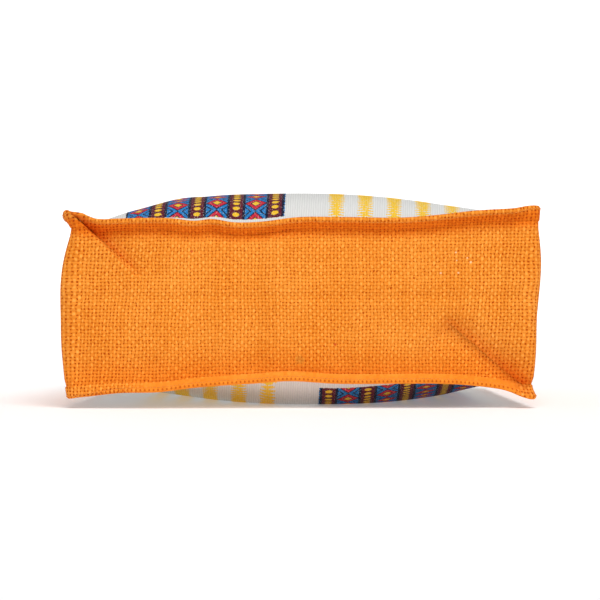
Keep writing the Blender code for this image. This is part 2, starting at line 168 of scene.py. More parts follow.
# Slight waves, each by its height, how closely it repeats in x and in z, and its start
WAVES = (
    (0.0005, 31, 17, 0.6), (0.0004, 63, -41, 2.1), (0.0003, 12, 97, 4.0), (0.0002, 140, 33, 1.0))
SIDE_WAVES = {"closeness": 2, "height": 1.5}

# Soft creases in the panels, each along a line in x and y, and how they rise or sink. They
# fade out near the seams.
CREASE_COLUMNS = ("x_from", "y_from", "x_to", "y_to", "rise", "width")
CREASE_FADE = 0.030
BACK_CREASE_FADE = 0.020
FRONT_CREASES = (
    (-0.150, 0.030, -0.060, 0.150, 0.0026, 0.011),
    (-0.135, 0.018, -0.080, 0.190, -0.0022, 0.012),
    (0.150, 0.030, 0.095, 0.150, -0.0022, 0.011),
    (0.120, 0.090, 0.095, 0.230, 0.0016, 0.012),
    (-0.110, 0.215, 0.070, 0.180, -0.0026, 0.016),
    (-0.060, 0.255, 0.120, 0.235, 0.0018, 0.013),
    (-0.058, 0.200, -0.063, 0.328, 0.0016, 0.010),
    (0.064, 0.210, 0.058, 0.328, 0.0016, 0.010),
    (0.000, 0.240, 0.010, 0.330, -0.0022, 0.018),
)
BACK_CREASES = (
    (-0.140, 0.030, -0.085, 0.110, 0.0016, 0.010),
    (0.150, 0.030, 0.100, 0.100, 0.0016, 0.009),
    (-0.020, 0.010, -0.045, 0.060, 0.0010, 0.010),
)

# Handles
STRAP_WIDTH = 0.028
HANDLE_X = 0.060
HANDLE_TUCK = 0.040
HANDLE_PAST_MOUTH = 0.004
UNDER_HEM = PANEL_CLOTH * 1.5 + 3 * LAYER_GAP + STRAP_CLOTH / 2

# How finely the cloth is divided
BASE_STEPS = 170
BASE_CLOSENESS = 0.33
CORNER_STEPS = 8
SIDE_STEPS = 70
SIDE_CLOSENESS = 1.3
WALL_STEPS = 80
WALL_CLOSENESS = 0.20
LIP_STEPS = 6
FOLD_STEPS = 6
HEM_STEPS = 10
STRAP_STEPS = 150
SMALL_STEP = 0.001


def length_property(name, description, default):
    return FloatProperty(
        name=name, description=description, default=default, unit="LENGTH", precision=5)


class BurlapBagSizes(PropertyGroup):
    thread_pitch_along: length_property(
        "Thread pitch along", "Between the burlap's upright threads", 0.00256)
    thread_pitch_across: length_property(
        "Thread pitch across", "Between the burlap's level threads", 0.00245)
    rib_pitch: length_property("Rib pitch", "Between the printed cloth's ribs", 0.00165)
    stitch_pitch: length_property("Stitch pitch", "Between one stitch and the next", 0.0030)
    thread_thickness: length_property("Thread thickness", "Of the sewing thread", 0.0006)
    first_stripe: length_property(
        "First stripe", "From the panel's middle to the first yellow stripe's", 0.0214)
    stripe_pitch: length_property("Stripe pitch", "Between the yellow stripes", 0.0208)
    stripe_width: length_property("Stripe width", "Of each yellow stripe", 0.0110)
    stripe_count: IntProperty(name="Stripes", description="On each panel", default=5, min=1)
    stroke_pitch: length_property(
        "Stroke pitch", "Between the level strokes that make up a stripe", 0.0034)
    column_pitch: length_property(
        "Column pitch", "Between the print's columns of diamonds", 0.0280)


def colour_property(name, description, default):
    return FloatVectorProperty(
        name=name, description=description, default=default, subtype="COLOR",
        size=3, min=0, max=1)


class BurlapBagColours(PropertyGroup):
    burlap: colour_property("Burlap", "The orange threads", (0.85, 0.232, 0.013))
    # Paler threads here and there, and the painted highlight on the threads' tops
    burlap_pale_and_highlight: colour_property("Burlap light", "Threads in the light", (0.97, 0.390, 0.066))
    # Painted shade for the holes between the threads: the dark seen through the gaps
    burlap_hole_shade: colour_property("Burlap deep", "The small holes", (0.50, 0.065, 0.001))
    thread: colour_property("Sewing thread", "On the burlap", (0.90, 0.30, 0.05))
    white: colour_property("Cloth", "The printed cloth's ground", (0.74, 0.74, 0.72))
    yellow: colour_property("Yellow", "The stripes", (0.90, 0.55, 0.03))
    blue: colour_property("Blue", "In the print", (0.02, 0.20, 0.52))
    navy: colour_property("Navy", "The print's outlines", (0.010, 0.014, 0.040))
    red: colour_property("Red", "In the print", (0.60, 0.025, 0.05))
    maroon: colour_property("Maroon", "In the print", (0.12, 0.015, 0.028))
    floor: colour_property("Floor", "The stage", (0.90, 0.90, 0.90))


def sizes():
    return bpy.context.scene.burlap_bag_sizes


def colours():
    return bpy.context.scene.burlap_bag_colours


# Reading the tables


def read(table, key, column, at):
    """A table's column at some places, on a smooth curve through its rows."""
    places, values = table[key], table[column]
    slopes = np.gradient(values, places)
    at = np.clip(at, places[0], places[-1])
    row = np.clip(np.searchsorted(places, at) - 1, 0, len(places) - 2)
    step = places[row + 1] - places[row]
    t = (at - places[row]) / step
    return (
        values[row] * (1 + 2 * t) * (1 - t) ** 2
        + values[row + 1] * (3 - 2 * t) * t**2
        + slopes[row] * step * t * (1 - t) ** 2
        - slopes[row + 1] * step * (1 - t) * t**2
    )


def section(column, y):
    """A column of the sections at a distance from the base."""
    return read(SECTIONS, "y", column, y)


def eased(t):
    """0 under 0 and 1 over 1, with a smooth step between them."""
    t = np.clip(t, 0, 1)
    return t * t * (3 - 2 * t)


def closer_at_ends(steps, closeness):
    """Places from -1 to 1, closer together towards both ends."""
    even = np.linspace(-1, 1, steps + 1)
    return even * (1 + closeness) - even**3 * closeness


def soft_step(t, softness):
    """Distance from 0 with its corner rounded."""
    return np.sqrt(t * t + softness * softness) - softness


def unit(vectors):
    return vectors / np.linalg.norm(vectors, axis=-1, keepdims=True)


def walked(points):
    """How far each point of a line, or of each line of a grid, is from the first one."""
    steps = np.linalg.norm(np.diff(points, axis=-2), axis=-1)
    return np.concatenate([np.zeros((*steps.shape[:-1], 1)), np.cumsum(steps, axis=-1)], -1)


# The two panels as heights over the floor


def creased(x, y, creases):
    """The height that soft creases add, each fading out at both its ends."""
    total = np.zeros(np.broadcast(x, y).shape)
    for row in creases:
        crease = dict(zip(CREASE_COLUMNS, row))
        run_x, run_y = crease["x_to"] - crease["x_from"], crease["y_to"] - crease["y_from"]
        length = math.hypot(run_x, run_y)
        from_x, from_y = x - crease["x_from"], y - crease["y_from"]
        share = (from_x * run_x + from_y * run_y) / length**2
        beside = (from_y * run_x - from_x * run_y) / length
        strength = eased(2 * share) * eased(2 * (1 - share))
        total = total + crease["rise"] * strength * np.exp(-((beside / crease["width"]) ** 2))
    return total


def front_height(x, y):
    """The front panel's underside: low at the seams, with its crest left of the middle."""
    at_base = read(BASE_EDGE, "x", "top", x) - LIP_RISE[UP]
    left, right = BASE_EDGE["top"][[0, -1]] - LIP_RISE[UP]
    straight = left + (right - left) * (x / BASE_HALF_LENGTH + 1) / 2
    near = np.exp(-((y / EDGE_FADE) ** 2))
    half = section("half_width", y)
    off_crest = (x - CREST_X) / np.where(x > CREST_X, half - CREST_X, half + CREST_X)
    hill = 1 - np.clip(np.abs(off_crest), 0, 1) ** CREST_POWER
    rise = section("crest_rise", y) * hill + section("side_rise", y) * (1 - hill)
    inside = eased((half - np.abs(x)) / CREASE_FADE) * eased(y / CREASE_FADE)
    creases = creased(x, y, FRONT_CREASES) * inside
    return at_base * near + straight * (1 - near) + rise + creases


def back_height(x, y):
    """The back panel's underside: 0 where it lies on the floor, and raised to its seams."""
    at_base = read(BASE_EDGE, "x", "bottom", x) + LIP_RISE[DOWN] - PANEL_CLOTH
    off_belly = np.abs(x - BELLY_X) / BELLY_UNIT
    meets_floor = BELLY_START + BELLY_SPREAD * off_belly**BELLY_POWER
    base_ramp = np.clip(1 - y / meets_floor, 0, 1) ** 2
    from_side = section("half_width", y) - np.abs(x)
    side_ramp = np.clip(1 - from_side / SIDE_RAMP, 0, 1) ** 2
    inside = eased(from_side / CREASE_FADE) * eased(y / BACK_CREASE_FADE)
    ramps = at_base * base_ramp + section("side_floor", y) * side_ramp * (1 - base_ramp)
    return ramps + creased(x, y, BACK_CREASES) * inside


def front_surface(x, y):
    """The height of the front panel's middle."""
    return front_height(x, y) + PANEL_CLOTH / 2


def back_surface(x, y):
    """The height of the back panel's middle."""
    return back_height(x, y) + PANEL_CLOTH / 2


def leaned(x, z):
    """X with the bag's lean to the right, and with its corners where they stand."""
    up = np.clip(z / SHIFT_HEIGHT, 0, 1)
    left, right = (
        CORNERS[DOWN, side]["shift"] * (1 - up) ** 2 + CORNERS[UP, side]["shift"] * up**2
        for side in (LEFT, RIGHT)
    )
    outward = np.abs(x / BASE_HALF_LENGTH) ** SHIFT_POWER
    return x + LEAN * (z - LEAN_HEIGHT) + np.where(x < 0, left, right) * outward


def on_surface(surface, x, y):
    """Points of a panel's middle surface."""
    x, y = np.broadcast_arrays(x, y)
    z = surface(x, y)
    return np.stack([leaned(x, z), y, z], -1)


def slopes(surface, x, y, ahead, step=SMALL_STEP):
    """A panel's slopes, the one in y taken from a step before a place to ahead of it."""
    slope_x = (surface(x + step, y) - surface(x - step, y)) / (2 * step)
    return slope_x, (surface(x, y + ahead) - surface(x, y - step)) / (ahead + step)


# The seam's route in plan: from the left side's mouth, round the base, to the right side's


def side_places():
    """Distances from the base, close together near it, down the side from the mouth."""
    share = np.linspace(1, 0, SIDE_STEPS + 1) ** SIDE_CLOSENESS
    return CORNER_RADIUS + (BAG_HEIGHT - CORNER_RADIUS) * share


def hem_places():
    """Distances from the base, from the mouth to the hem's end."""
    return BAG_HEIGHT - HEM_DEPTH * np.linspace(0, 1, HEM_STEPS + 1)


def stations_at_side(side, y):
    """Stations of the seam's route at distances from the base, down one side."""
    return {
        "x": side * section("half_width", y),
        "y": y,
        "turn": np.full(len(y), side * math.pi / 2),
    }


def stations():
    """Each station's x, y and turn, which is -90 degrees on the left side, 0 at the base."""
    straight = BASE_HALF_LENGTH - CORNER_RADIUS
    left = stations_at_side(LEFT, side_places())
    right = stations_at_side(RIGHT, side_places()[::-1])
    turns = np.linspace(0, math.pi / 2, CORNER_STEPS + 1)[1:-1]
    corner_x = straight + CORNER_RADIUS * np.sin(turns)
    corner_y = CORNER_RADIUS * (1 - np.cos(turns))
    base_x = straight * closer_at_ends(BASE_STEPS, BASE_CLOSENESS)
    flat = np.zeros(len(base_x))
    route = {
        "x": np.concatenate([left["x"], -corner_x[::-1], base_x, corner_x, right["x"]]),
        "y": np.concatenate([left["y"], corner_y[::-1], flat, corner_y, right["y"]]),
        "turn": np.concatenate([left["turn"], -turns[::-1], flat, turns, right["turn"]]),
    }
    distance = walked(np.stack([route["x"], route["y"]], -1))
    route["along"] = distance - distance[-1] / 2
    return route


def seam_heights(route):
    """The heights of the back panel's seam and of the front panel's."""
    low = back_height(route["x"], route["y"]) + PANEL_CLOTH
    high = front_height(route["x"], route["y"])
    return low, high


def at_corner(route, side, reach):
    """1 at a corner of the base, falling to 0 a little way along the seam."""
    corner_x = side * (BASE_HALF_LENGTH - CORNER_INSET)
    away = np.hypot(route["x"] - corner_x, route["y"] - CORNER_INSET)
    return np.exp(-((away / reach) ** 2))


def lip_of(route, level):
    """The lip's way out, its way across, its straight length and its fold's radius."""
    length = np.full(len(route["x"]), LIP_LENGTH[level])
    tilt = np.full(len(route["x"]), LIP_TILT)
    for side in (LEFT, RIGHT):
        corner = CORNERS[level, side]
        on_side = np.sin(route["turn"]) ** 2 * (np.sign(route["turn"]) == side)
        tilt += on_side * (math.radians(corner["side_tilt"]) - tilt)
        near = at_corner(route, side, corner["reach"])
        tilt += near * (math.radians(corner["tilt"]) - tilt)
        length += near * (corner["length"] - LIP_LENGTH[level])
    out = np.stack([np.cos(tilt), level * np.sin(tilt)], -1)
    across = np.stack([np.sin(tilt), -level * np.cos(tilt)], -1)
    fold_radius = (GUSSET_CLOTH + PANEL_CLOTH) / 2 + LAYER_GAP
    return out, across, length - fold_radius - GUSSET_CLOTH / 2, fold_radius


def plan_at(route, out):
    """The x and y of places at a distance out of the seam's route."""
    return route["x"] + np.sin(route["turn"]) * out, route["y"] - np.cos(route["turn"]) * out


def placed(route, out, z):
    """Points at a distance out of the seam's route in plan, and at a height."""
    x, y = plan_at(route, out)
    return np.stack([leaned(x, z), y, z], -1)


def row_in_lip(route, seam_z, out, across, reach, aside):
    """A row of points in a lip, at a distance out along it and at one aside."""
    flat = out * np.reshape(reach, (-1, 1)) + across * aside
    return placed(route, flat[:, 0], seam_z + flat[:, 1])


# The gusset's wall between its two seams


def beside(fold, x, z):
    """How far along a fold's line some places are, as a share, and how far above it."""
    (start_x, start_z), (end_x, end_z) = fold["start"], fold["end"]
    length = math.hypot(end_x - start_x, end_z - start_z)
    along_x, along_z = (end_x - start_x) / length, (end_z - start_z) / length
    share = ((x - start_x) * along_x + (z - start_z) * along_z) / length
    above = (z - start_z) * along_x - (x - start_x) * along_z
    return share, above, (-along_z, along_x)


def drawn_in(fold, strength, above):
    """How far the cloth beside a fold's line is drawn in towards it."""
    return -above * fold["pull"] * strength * np.exp(-((above / fold["pull_width"]) ** 2))


def left_fold(x, z, behind):
    """A sharp fold from the ear down the base: a ridge with a recess over it.

    It is given as moves in x, y and z. Layers behind the cloth's front turn a little lower
    at the fold, by behind, so that none comes through another.
    """
    fold = LEFT_FOLD
    share, above, (upward_x, upward_z) = beside(fold, x, z)
    strength = np.clip(1 - share, 0, 1) ** fold["fade"] * eased(1 + share / fold["lead"])
    pull = drawn_in(fold, strength, above)
    above = above + behind
    over = eased(above / fold["step"] / 2 + 0.5)
    recess = fold["recess"] * np.exp(-np.abs(above) / fold["recess_width"])
    ridge = fold["ridge"] * np.exp(-np.abs(above) / fold["ridge_width"])
    in_lip = eased((fold["lip_edge"] - z) / fold["lip_fade"])
    sinks = strength * (recess * over * in_lip - ridge * (1 - over))
    return np.stack([pull * upward_x, sinks, pull * upward_z], -1)


def right_fold(x, z):
    """A valley with a steep upper side, widening towards the lower right point, as moves."""
    fold = RIGHT_FOLD
    share, above, (upward_x, upward_z) = beside(fold, x, z)
    strength = eased(share / fold["full_at"]) * eased(1 - (share - fold["fades_at"]) / fold["fade"])
    strength = strength * eased((z - fold["lip_edge"]) / fold["lip_fade"])
    along = np.clip(share, 0, 1)
    deepening = fold["start_share"] + (1 - fold["start_share"]) * along
    widening = fold["above"] * (fold["start_width"] + along)
    reach = np.where(above > 0, widening, fold["below"])
    sinks = np.exp(-soft_step(above, fold["softness"]) / reach)
    sinks = fold["depth"] * strength * deepening * sinks
    pull = drawn_in(fold, strength, above) * (1 - along * along)
    return np.stack([pull * upward_x, sinks, pull * upward_z], -1)


def settled(points, behind=0.0):
    """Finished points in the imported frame, with both folds through wall and lip."""
    points = np.asarray(points)
    x, y, z = (points[..., k] for k in range(3))
    near_base = eased(1 - y / LEFT_FOLD["depth"])[..., None]
    return points + TO_ORIGIN + (left_fold(x, z, behind) + right_fold(x, z)) * near_base


def unevenness(x, z):
    """The cloth's slight waves, under a millimetre."""
    return sum(height * np.sin(in_x * x + in_z * z + start) for height, in_x, in_z, start in WAVES)


def wall(route, share):
    """The gusset's wall at shares of the way up: how far it stands out, and its height."""
    x, y, turn = (route[name][:, None] for name in ("x", "y", "turn"))
    low, high = (height[:, None] for height in seam_heights(route))
    z = low + (high - low) * share
    arch = np.sin(math.pi * share)
    clear = eased(np.minimum(share, 1 - share) / FOLD_CLEAR_OF_SEAM)

    tuck = np.where(turn < 0, section("tuck_left", y), section("tuck_right", y))
    middle = 2 * share - 1
    vee = math.hypot(1, TUCK_SOFTNESS) - np.hypot(middle, TUCK_SOFTNESS)
    vee = vee / (math.hypot(1, TUCK_SOFTNESS) - TUCK_SOFTNESS)
    waves = unevenness(SIDE_WAVES["closeness"] * y, z) * SIDE_WAVES["height"] * clear
    skewed = np.sin(math.pi * share ** np.where(turn < 0, LEFT_SKEW, RIGHT_SKEW))
    at_side = tuck * np.where(tuck > 0, skewed, vee) + waves

    end_loss = BULGE_END_LOSS * (x / BASE_HALF_LENGTH) ** 4
    bulge = BASE_BULGE * arch**BULGE_ROUNDNESS * (1 - end_loss)
    pressed = PRESSED_LINE["depth"] * np.exp(
        -(((z - PRESSED_LINE["height"]) / PRESSED_LINE["width"]) ** 2))
    at_base = bulge - (pressed - unevenness(x, z)) * clear

    is_side = np.sin(turn) ** 2
    return at_side * is_side + at_base * (1 - is_side), z


def wall_points(route, out, z):
    """The wall's points, a row for each station."""
    return np.stack([placed(route, out[:, k], z[:, k]) for k in range(out.shape[1])], 1)


def wall_at_side(side, y, share):
    """A side's points at some distances from the base, and the ways out of it there."""
    route = stations_at_side(side, y)
    out, z = wall(route, share)
    slope_out, slope_z = np.gradient(out, axis=1), np.gradient(z, axis=1)
    outward = np.stack([side * slope_z, np.zeros_like(z), -slope_out], -1)
    return wall_points(route, out, z), unit(outward)


# Sheets: grids of points made into faces, then given their thickness


class Sheet:
    """Points, faces and cloth coordinates of a cloth's middle surface."""

    def __init__(self):
        self.points, self.faces, self.cloth = [], [], []

    def add(self, points, cloth, behind=0.0):
        """Adds a grid of points with their places in the flat cloth, and numbers them."""
        first = len(self.points)
        self.points.extend(settled(points, behind).reshape(-1, 3).tolist())
        self.cloth.extend(cloth.reshape(-1, cloth.shape[-1]).tolist())
        return np.arange(first, len(self.points)).reshape(points.shape[:-1])

    def cover(self, grid, inside_out=False):
        """Covers a grid of point numbers with faces, leaving out those with no area."""
        corners = (grid[:-1, :-1], grid[1:, :-1], grid[1:, 1:], grid[:-1, 1:])
        for face in np.stack(corners, -1).reshape(-1, 4).tolist():
            face = list(dict.fromkeys(face))
            if len(face) > 2:
                self.faces.append(face[::-1] if inside_out else face)

    def add_hem(self, mouth, mouth_cloth, hem, onward):
        """Adds a hem's rows to a mouth's points and gives all. The flat cloth goes onward."""
        turned_in = np.concatenate([np.zeros(FOLD_STEPS - 1), BAG_HEIGHT - hem_places()])
        hem_cloth = mouth_cloth + turned_in[:, None, None] * np.array(onward)
        return np.concatenate([mouth[None], self.add(hem, hem_cloth)])

    def made(self, name, materials, thickness):
        """The cloth as an object, with its thickness on both sides of the surface."""
        obj = object_of(name, self.points, self.faces, self.cloth, materials)
        solid = obj.modifiers.new("Thickness", "SOLIDIFY")
        solid.thickness = thickness
        solid.offset = 0
        solid.material_offset = len(materials) - 1
        return obj


def object_of(name, points, faces, cloth, materials):
    """A smooth mesh object, with its places in the cloth and from its seams as UV maps."""
    mesh = bpy.data.meshes.new(name)
    mesh.from_pydata(points, [], faces)
    for material in materials:
        mesh.materials.append(material)
    corners = np.empty(len(mesh.loops), int)
    mesh.loops.foreach_get("vertex_index", corners)
    cloth = np.asarray(cloth, float)
    for uv_map, first in ((CLOTH_MAP, 0), (SEAM_MAP, 2))[:cloth.shape[1] // 2]:
        layer = mesh.uv_layers.new(name=uv_map)
        layer.data.foreach_set("uv", cloth[corners, first:first + 2].ravel())
    mesh.shade_smooth()
    obj = bpy.data.objects.new(name, mesh)
    bpy.context.collection.objects.link(obj)
    return obj


def lip_points(route, seam_z, level):
    """The gusset's lip from the seam round its fold, as a list of rows of points."""
    out, across, straight, radius = lip_of(route, level)
    front = (LAYER_GAP + GUSSET_CLOTH) / 2
    profile = [(straight * t, front) for t in np.linspace(0, 1, LIP_STEPS + 1)]
    for turn in np.linspace(0, math.pi, FOLD_STEPS + 1)[1:]:
        profile.append((straight + radius * math.sin(turn), front - radius * (1 - math.cos(turn))))
    back = front - 2 * radius
    for t in np.linspace(1, 0, LIP_STEPS + 1)[1:]:
        profile.append((LIP_TURNBACK + (straight - LIP_TURNBACK) * t, back))
    return [row_in_lip(route, seam_z, out, across, reach, aside) for reach, aside in profile]


# How far behind the lip's front each of its rows is, for the left fold
LIP_LAYERS = 2 * LAYER_STEP * np.concatenate([
    np.zeros(LIP_STEPS + 1), np.linspace(0, 1, FOLD_STEPS + 1)[1:], np.ones(LIP_STEPS)])


def folded_hem(points, inward, tip_way):
    """Rows of a hem: from the mouth round its fold and back along the inside."""
    radius = (GUSSET_CLOTH + LAYER_GAP) / 2
    rows = []
    for turn in np.linspace(0, math.pi, FOLD_STEPS + 1)[1:-1]:
        aside = inward[0] * radius * (1 - math.cos(turn))
        rows.append(points[0] + aside + tip_way * radius * math.sin(turn))
    rows += [row + way * 2 * radius for row, way in zip(points, inward)]
    return np.stack(rows)


def add_gusset(material):
    """The burlap strip that makes the base and both sides, with its lips and hems."""
    route = stations()
    low, high = seam_heights(route)
    share = (closer_at_ends(WALL_STEPS, WALL_CLOSENESS)[1:-1] + 1) / 2
    out, z = wall(route, share)
    lower_lip = np.stack(lip_points(route, low, DOWN)[::-1], 1)
    upper_lip = np.stack(lip_points(route, high, UP), 1)
    points = np.concatenate([lower_lip, wall_points(route, out, z), upper_lip], 1)
    start, end = lower_lip.shape[1], lower_lip.shape[1] + len(share)

    across = walked(points)
    middle = len(share) // 2
    across += (z[:, middle] - across[:, start + middle])[:, None]
    upright = np.exp(-((route["along"] / LEAN_REACH) ** 4))
    along = route["along"][:, None] + (LEAN * upright)[:, None] * (across - LEAN_HEIGHT)
    past_upper = across - across[:, [end]]
    past_lower = across[:, [start - 1]] - across
    cloth = np.stack([along, across, past_upper, past_lower], -1)

    sheet = Sheet()
    layers = np.concatenate([np.zeros(end), LIP_LAYERS])
    grid = sheet.add(points, cloth, behind=layers)
    sheet.cover(grid)
    for side, mouth_row in ((LEFT, 0), (RIGHT, -1)):
        side_points, outward = wall_at_side(side, hem_places(), share)
        hem = folded_hem(side_points, -outward, np.array([0, 1, 0]))
        mouth = mouth_row, slice(start, end)
        hem = sheet.add_hem(grid[mouth], cloth[mouth], hem, (side, 0, 0, 0))
        sheet.cover(hem, inside_out=side == LEFT)
    return sheet.made("gusset_cloth", [material], GUSSET_CLOTH)


def panel_frame(surface, y):
    """A panel's rows across at distances from the base, and their ways out and along."""
    def field(y):
        across_share = closer_at_ends(BASE_STEPS, BASE_CLOSENESS)
        reach = section("half_width", y) - CORNER_RADIUS
        return on_surface(surface, across_share[:, None] * reach, y)

    points = field(y)
    along_y = field(y + SMALL_STEP / 2) - field(y - SMALL_STEP / 2)
    upward = unit(np.cross(np.gradient(points, axis=0), along_y))
    return points, upward, unit(along_y)


def add_panel(name, materials, surface, level):
    """A printed panel: its field, the strip to the seam, its edge in the lip, its hem."""
    route = stations()
    low, high = seam_heights(route)
    seam_z = high if level == UP else low
    way_out, across, straight, _ = lip_of(route, level)
    aside = -(LAYER_GAP + PANEL_CLOTH) / 2
    rows, cloth_rows = [], []
    for share in np.linspace(1, 0, LIP_STEPS):
        reach = PANEL_BEND + (straight - PANEL_SET_BACK - PANEL_BEND) * share
        rows.append(row_in_lip(route, seam_z, way_out, across, reach, aside))
        cloth_rows.append(np.stack(plan_at(route, reach), -1))
    for inset in RING_INSETS:
        rows.append(on_surface(surface, *plan_at(route, -inset)))
        cloth_rows.append(np.stack(plan_at(route, -inset), -1))
    facing = np.array([level, 1])
    points, _, _ = panel_frame(surface, side_places()[::-1])

    def flat_places(points):
        return np.stack([points[..., 0] - LEAN * (points[..., 2] - LEAN_HEIGHT), points[..., 1]], -1)

    sheet = Sheet()
    grid = sheet.add(points, flat_places(points) * facing, behind=LAYER_STEP)
    edge = sheet.add(np.stack(rows, 1), np.stack(cloth_rows, 1) * facing, behind=LAYER_STEP)
    rim = np.concatenate([
        grid[0, ::-1],
        np.full(CORNER_STEPS - 1, grid[0, 0]),
        grid[:, 0],
        np.full(CORNER_STEPS - 1, grid[-1, 0]),
        grid[-1, :],
    ])
    turned = level == DOWN
    sheet.cover(grid, inside_out=turned)
    sheet.cover(np.concatenate([edge, rim[:, None]], 1), inside_out=turned)

    points, upward, tip_way = panel_frame(surface, hem_places())
    inward = -level * upward
    hem = folded_hem(points.swapaxes(0, 1), inward.swapaxes(0, 1), tip_way[:, 0])
    hem = sheet.add_hem(grid[:, -1], flat_places(points[:, 0]) * facing, hem, (0, 1))
    sheet.cover(hem.T, inside_out=turned)
    return sheet.made(name, materials, PANEL_CLOTH)


# Handles

STRAP_PROFILE_STEPS = 5
STRAP_EDGE_STEPS = 8
STRAP_GROOVE = {"depth": 0.00022, "width": 0.3}
TUCKED_STEPS = 5

# Half of each handle past the mouth, as far as its middle: for the front one, which hangs
# down, each place in x, y and z with the way its face looks, and for the back one, which
# lies on the floor, each place in x and y
FRONT_HANDLE_ROUTE = (
    (-0.0590, 0.3520, 0.1050, 0, 0.5, 0.9),
    (-0.0590, 0.3680, 0.0930, 0, 0.8, 0.5),
    (-0.0560, 0.3760, 0.0740, 0, 1.0, 0.1),
    (-0.0460, 0.3800, 0.0490, 0, 1.0, 0.1),
    (-0.0260, 0.3815, 0.0320, 0, 0.9, 0.3),
    (0.0000, 0.3820, 0.0260, 0, 0.9, 0.4),
)
BACK_HANDLE_OUTLINE = (
    (-0.0610, 0.3560),
    (-0.0615, 0.3750),
    (-0.0600, 0.3960),
    (-0.0500, 0.4240),
    (-0.0280, 0.4440),
    (0.0000, 0.4510),
)


def tucked_rows(surface, level, side):
    """The end of a strap, against the inside of a panel's hem, up to just past the mouth."""
    x = side * HANDLE_X
    rows = []
    for y in BAG_HEIGHT - np.linspace(HANDLE_TUCK, 0, TUCKED_STEPS + 1):
        slope_x, slope_y = slopes(surface, x, y, 0, 2 * SMALL_STEP)
        up = unit(np.array([-slope_x, -slope_y, 1]))
        place = on_surface(surface, x, y) - level * up * UNDER_HEM
        rows.append((*place, *up))
    past = place + np.array([0, 1, slope_y]) * HANDLE_PAST_MOUTH
    return rows + [(*past, *up)]


def strap_frame(surface, level, free_rows):
    """A handle's middle line from end to end, its ways across and up, and its length."""
    left = tucked_rows(surface, level, LEFT) + list(free_rows)
    right = tucked_rows(surface, level, RIGHT)
    right += [(-x, *rest) for x, *rest in free_rows[:-1]]
    rows = np.array(left + right[::-1], float)
    route = {"at": walked(rows[:, :3])}
    route.update((column, rows[:, column]) for column in range(6))
    at = np.linspace(0, route["at"][-1], STRAP_STEPS + 1)
    line, facing = (
        np.stack([read(route, "at", column, at) for column in columns], -1)
        for columns in (range(3), range(3, 6))
    )
    line[:, 2] = np.maximum(line[:, 2], STRAP_CLOTH / 2)
    tangent = np.gradient(line, axis=0)
    across = unit(np.cross(facing, tangent))
    return line, across, unit(np.cross(tangent, across)), at


def strap_profile():
    """A strap's outline: two flat faces and rounded edges with the folded cloth's groove."""
    half_width, half_cloth = STRAP_WIDTH / 2, STRAP_CLOTH / 2
    edge = []
    for turn in np.linspace(-math.pi / 2, math.pi / 2, STRAP_EDGE_STEPS + 1):
        groove = STRAP_GROOVE["depth"] * math.exp(-((turn / STRAP_GROOVE["width"]) ** 2))
        edge.append((
            half_width - half_cloth + (half_cloth - groove) * math.cos(turn),
            half_cloth * math.sin(turn),
        ))
    flat = np.linspace(1, -1, 2 * STRAP_PROFILE_STEPS + 1)[1:-1] * (half_width - half_cloth)
    top = [(x, half_cloth) for x in flat]
    half = edge + top
    return np.array(half + [(-x, -z) for x, z in half])


def add_strap(name, material, surface, level, free_rows):
    """A handle: its profile swept along its middle line, closed at both ends."""
    line, across, up, at = strap_frame(surface, level, free_rows)
    profile = strap_profile()
    points = (
        line[:, None] + across[:, None] * profile[None, :, :1] + up[:, None] * profile[None, :, 1:]
    )
    cloth = np.stack(np.broadcast_arrays(at[:, None], walked(profile)), -1)
    rings = np.arange(len(line) * len(profile)).reshape(len(line), -1)
    faces = [rings[0].tolist(), rings[-1, ::-1].tolist()]
    for start, end in zip(rings[:-1], rings[1:]):
        quads = np.stack([np.roll(start, -1), start, end, np.roll(end, -1)], -1)
        faces.extend(quads.tolist())
    moved = settled(points).reshape(-1, 3).tolist()
    return object_of(name, moved, faces, cloth.reshape(-1, 2), [material])


# Stitching

STITCH = {
    "shortest": 0.72, "longest": 0.82, "askew": 0.06, "dip": 0.9, "sunk": 0.15, "bluntness": 0.7}
STITCH_SEED = 5


def one_stitch():
    """One stitch's points and faces: a short thread, 1 long, with blunt ends; add_stitches makes it
    dip at both.
    """
    bpy.ops.object.select_all(action="DESELECT")
    bpy.ops.mesh.primitive_uv_sphere_add(segments=6, ring_count=6, radius=0.5)
    made = bpy.context.object
    bpy.ops.object.mode_set(mode="EDIT")
    bpy.ops.mesh.select_all(action="SELECT")
    bpy.ops.transform.rotate(value=math.pi / 2, orient_axis="Y", center_override=(0, 0, 0))
    bpy.ops.object.mode_set(mode="OBJECT")
    points = np.array([tuple(vertex.co) for vertex in made.data.vertices])
    faces = [list(face.vertices) for face in made.data.polygons]
    bpy.data.meshes.remove(made.data)
    blunted = (2 * np.abs(points[:, 0])) ** STITCH["bluntness"]
    points[:, 0] = 0.5 * np.sign(points[:, 0]) * blunted
    return points, faces


def resampled(points, normals, pitch):
    """Places at an even pitch along a line of points, with their tangents and normals."""
    at = walked(points)
    count = max(int(at[-1] / pitch), 1)
    wanted = (np.arange(count) + 0.5) * at[-1] / count
    places, ways = (
        np.stack([np.interp(wanted, at, array[:, k]) for k in range(3)], -1)
        for array in (points, normals)
    )
    return places, unit(np.gradient(places, axis=0)), unit(ways)


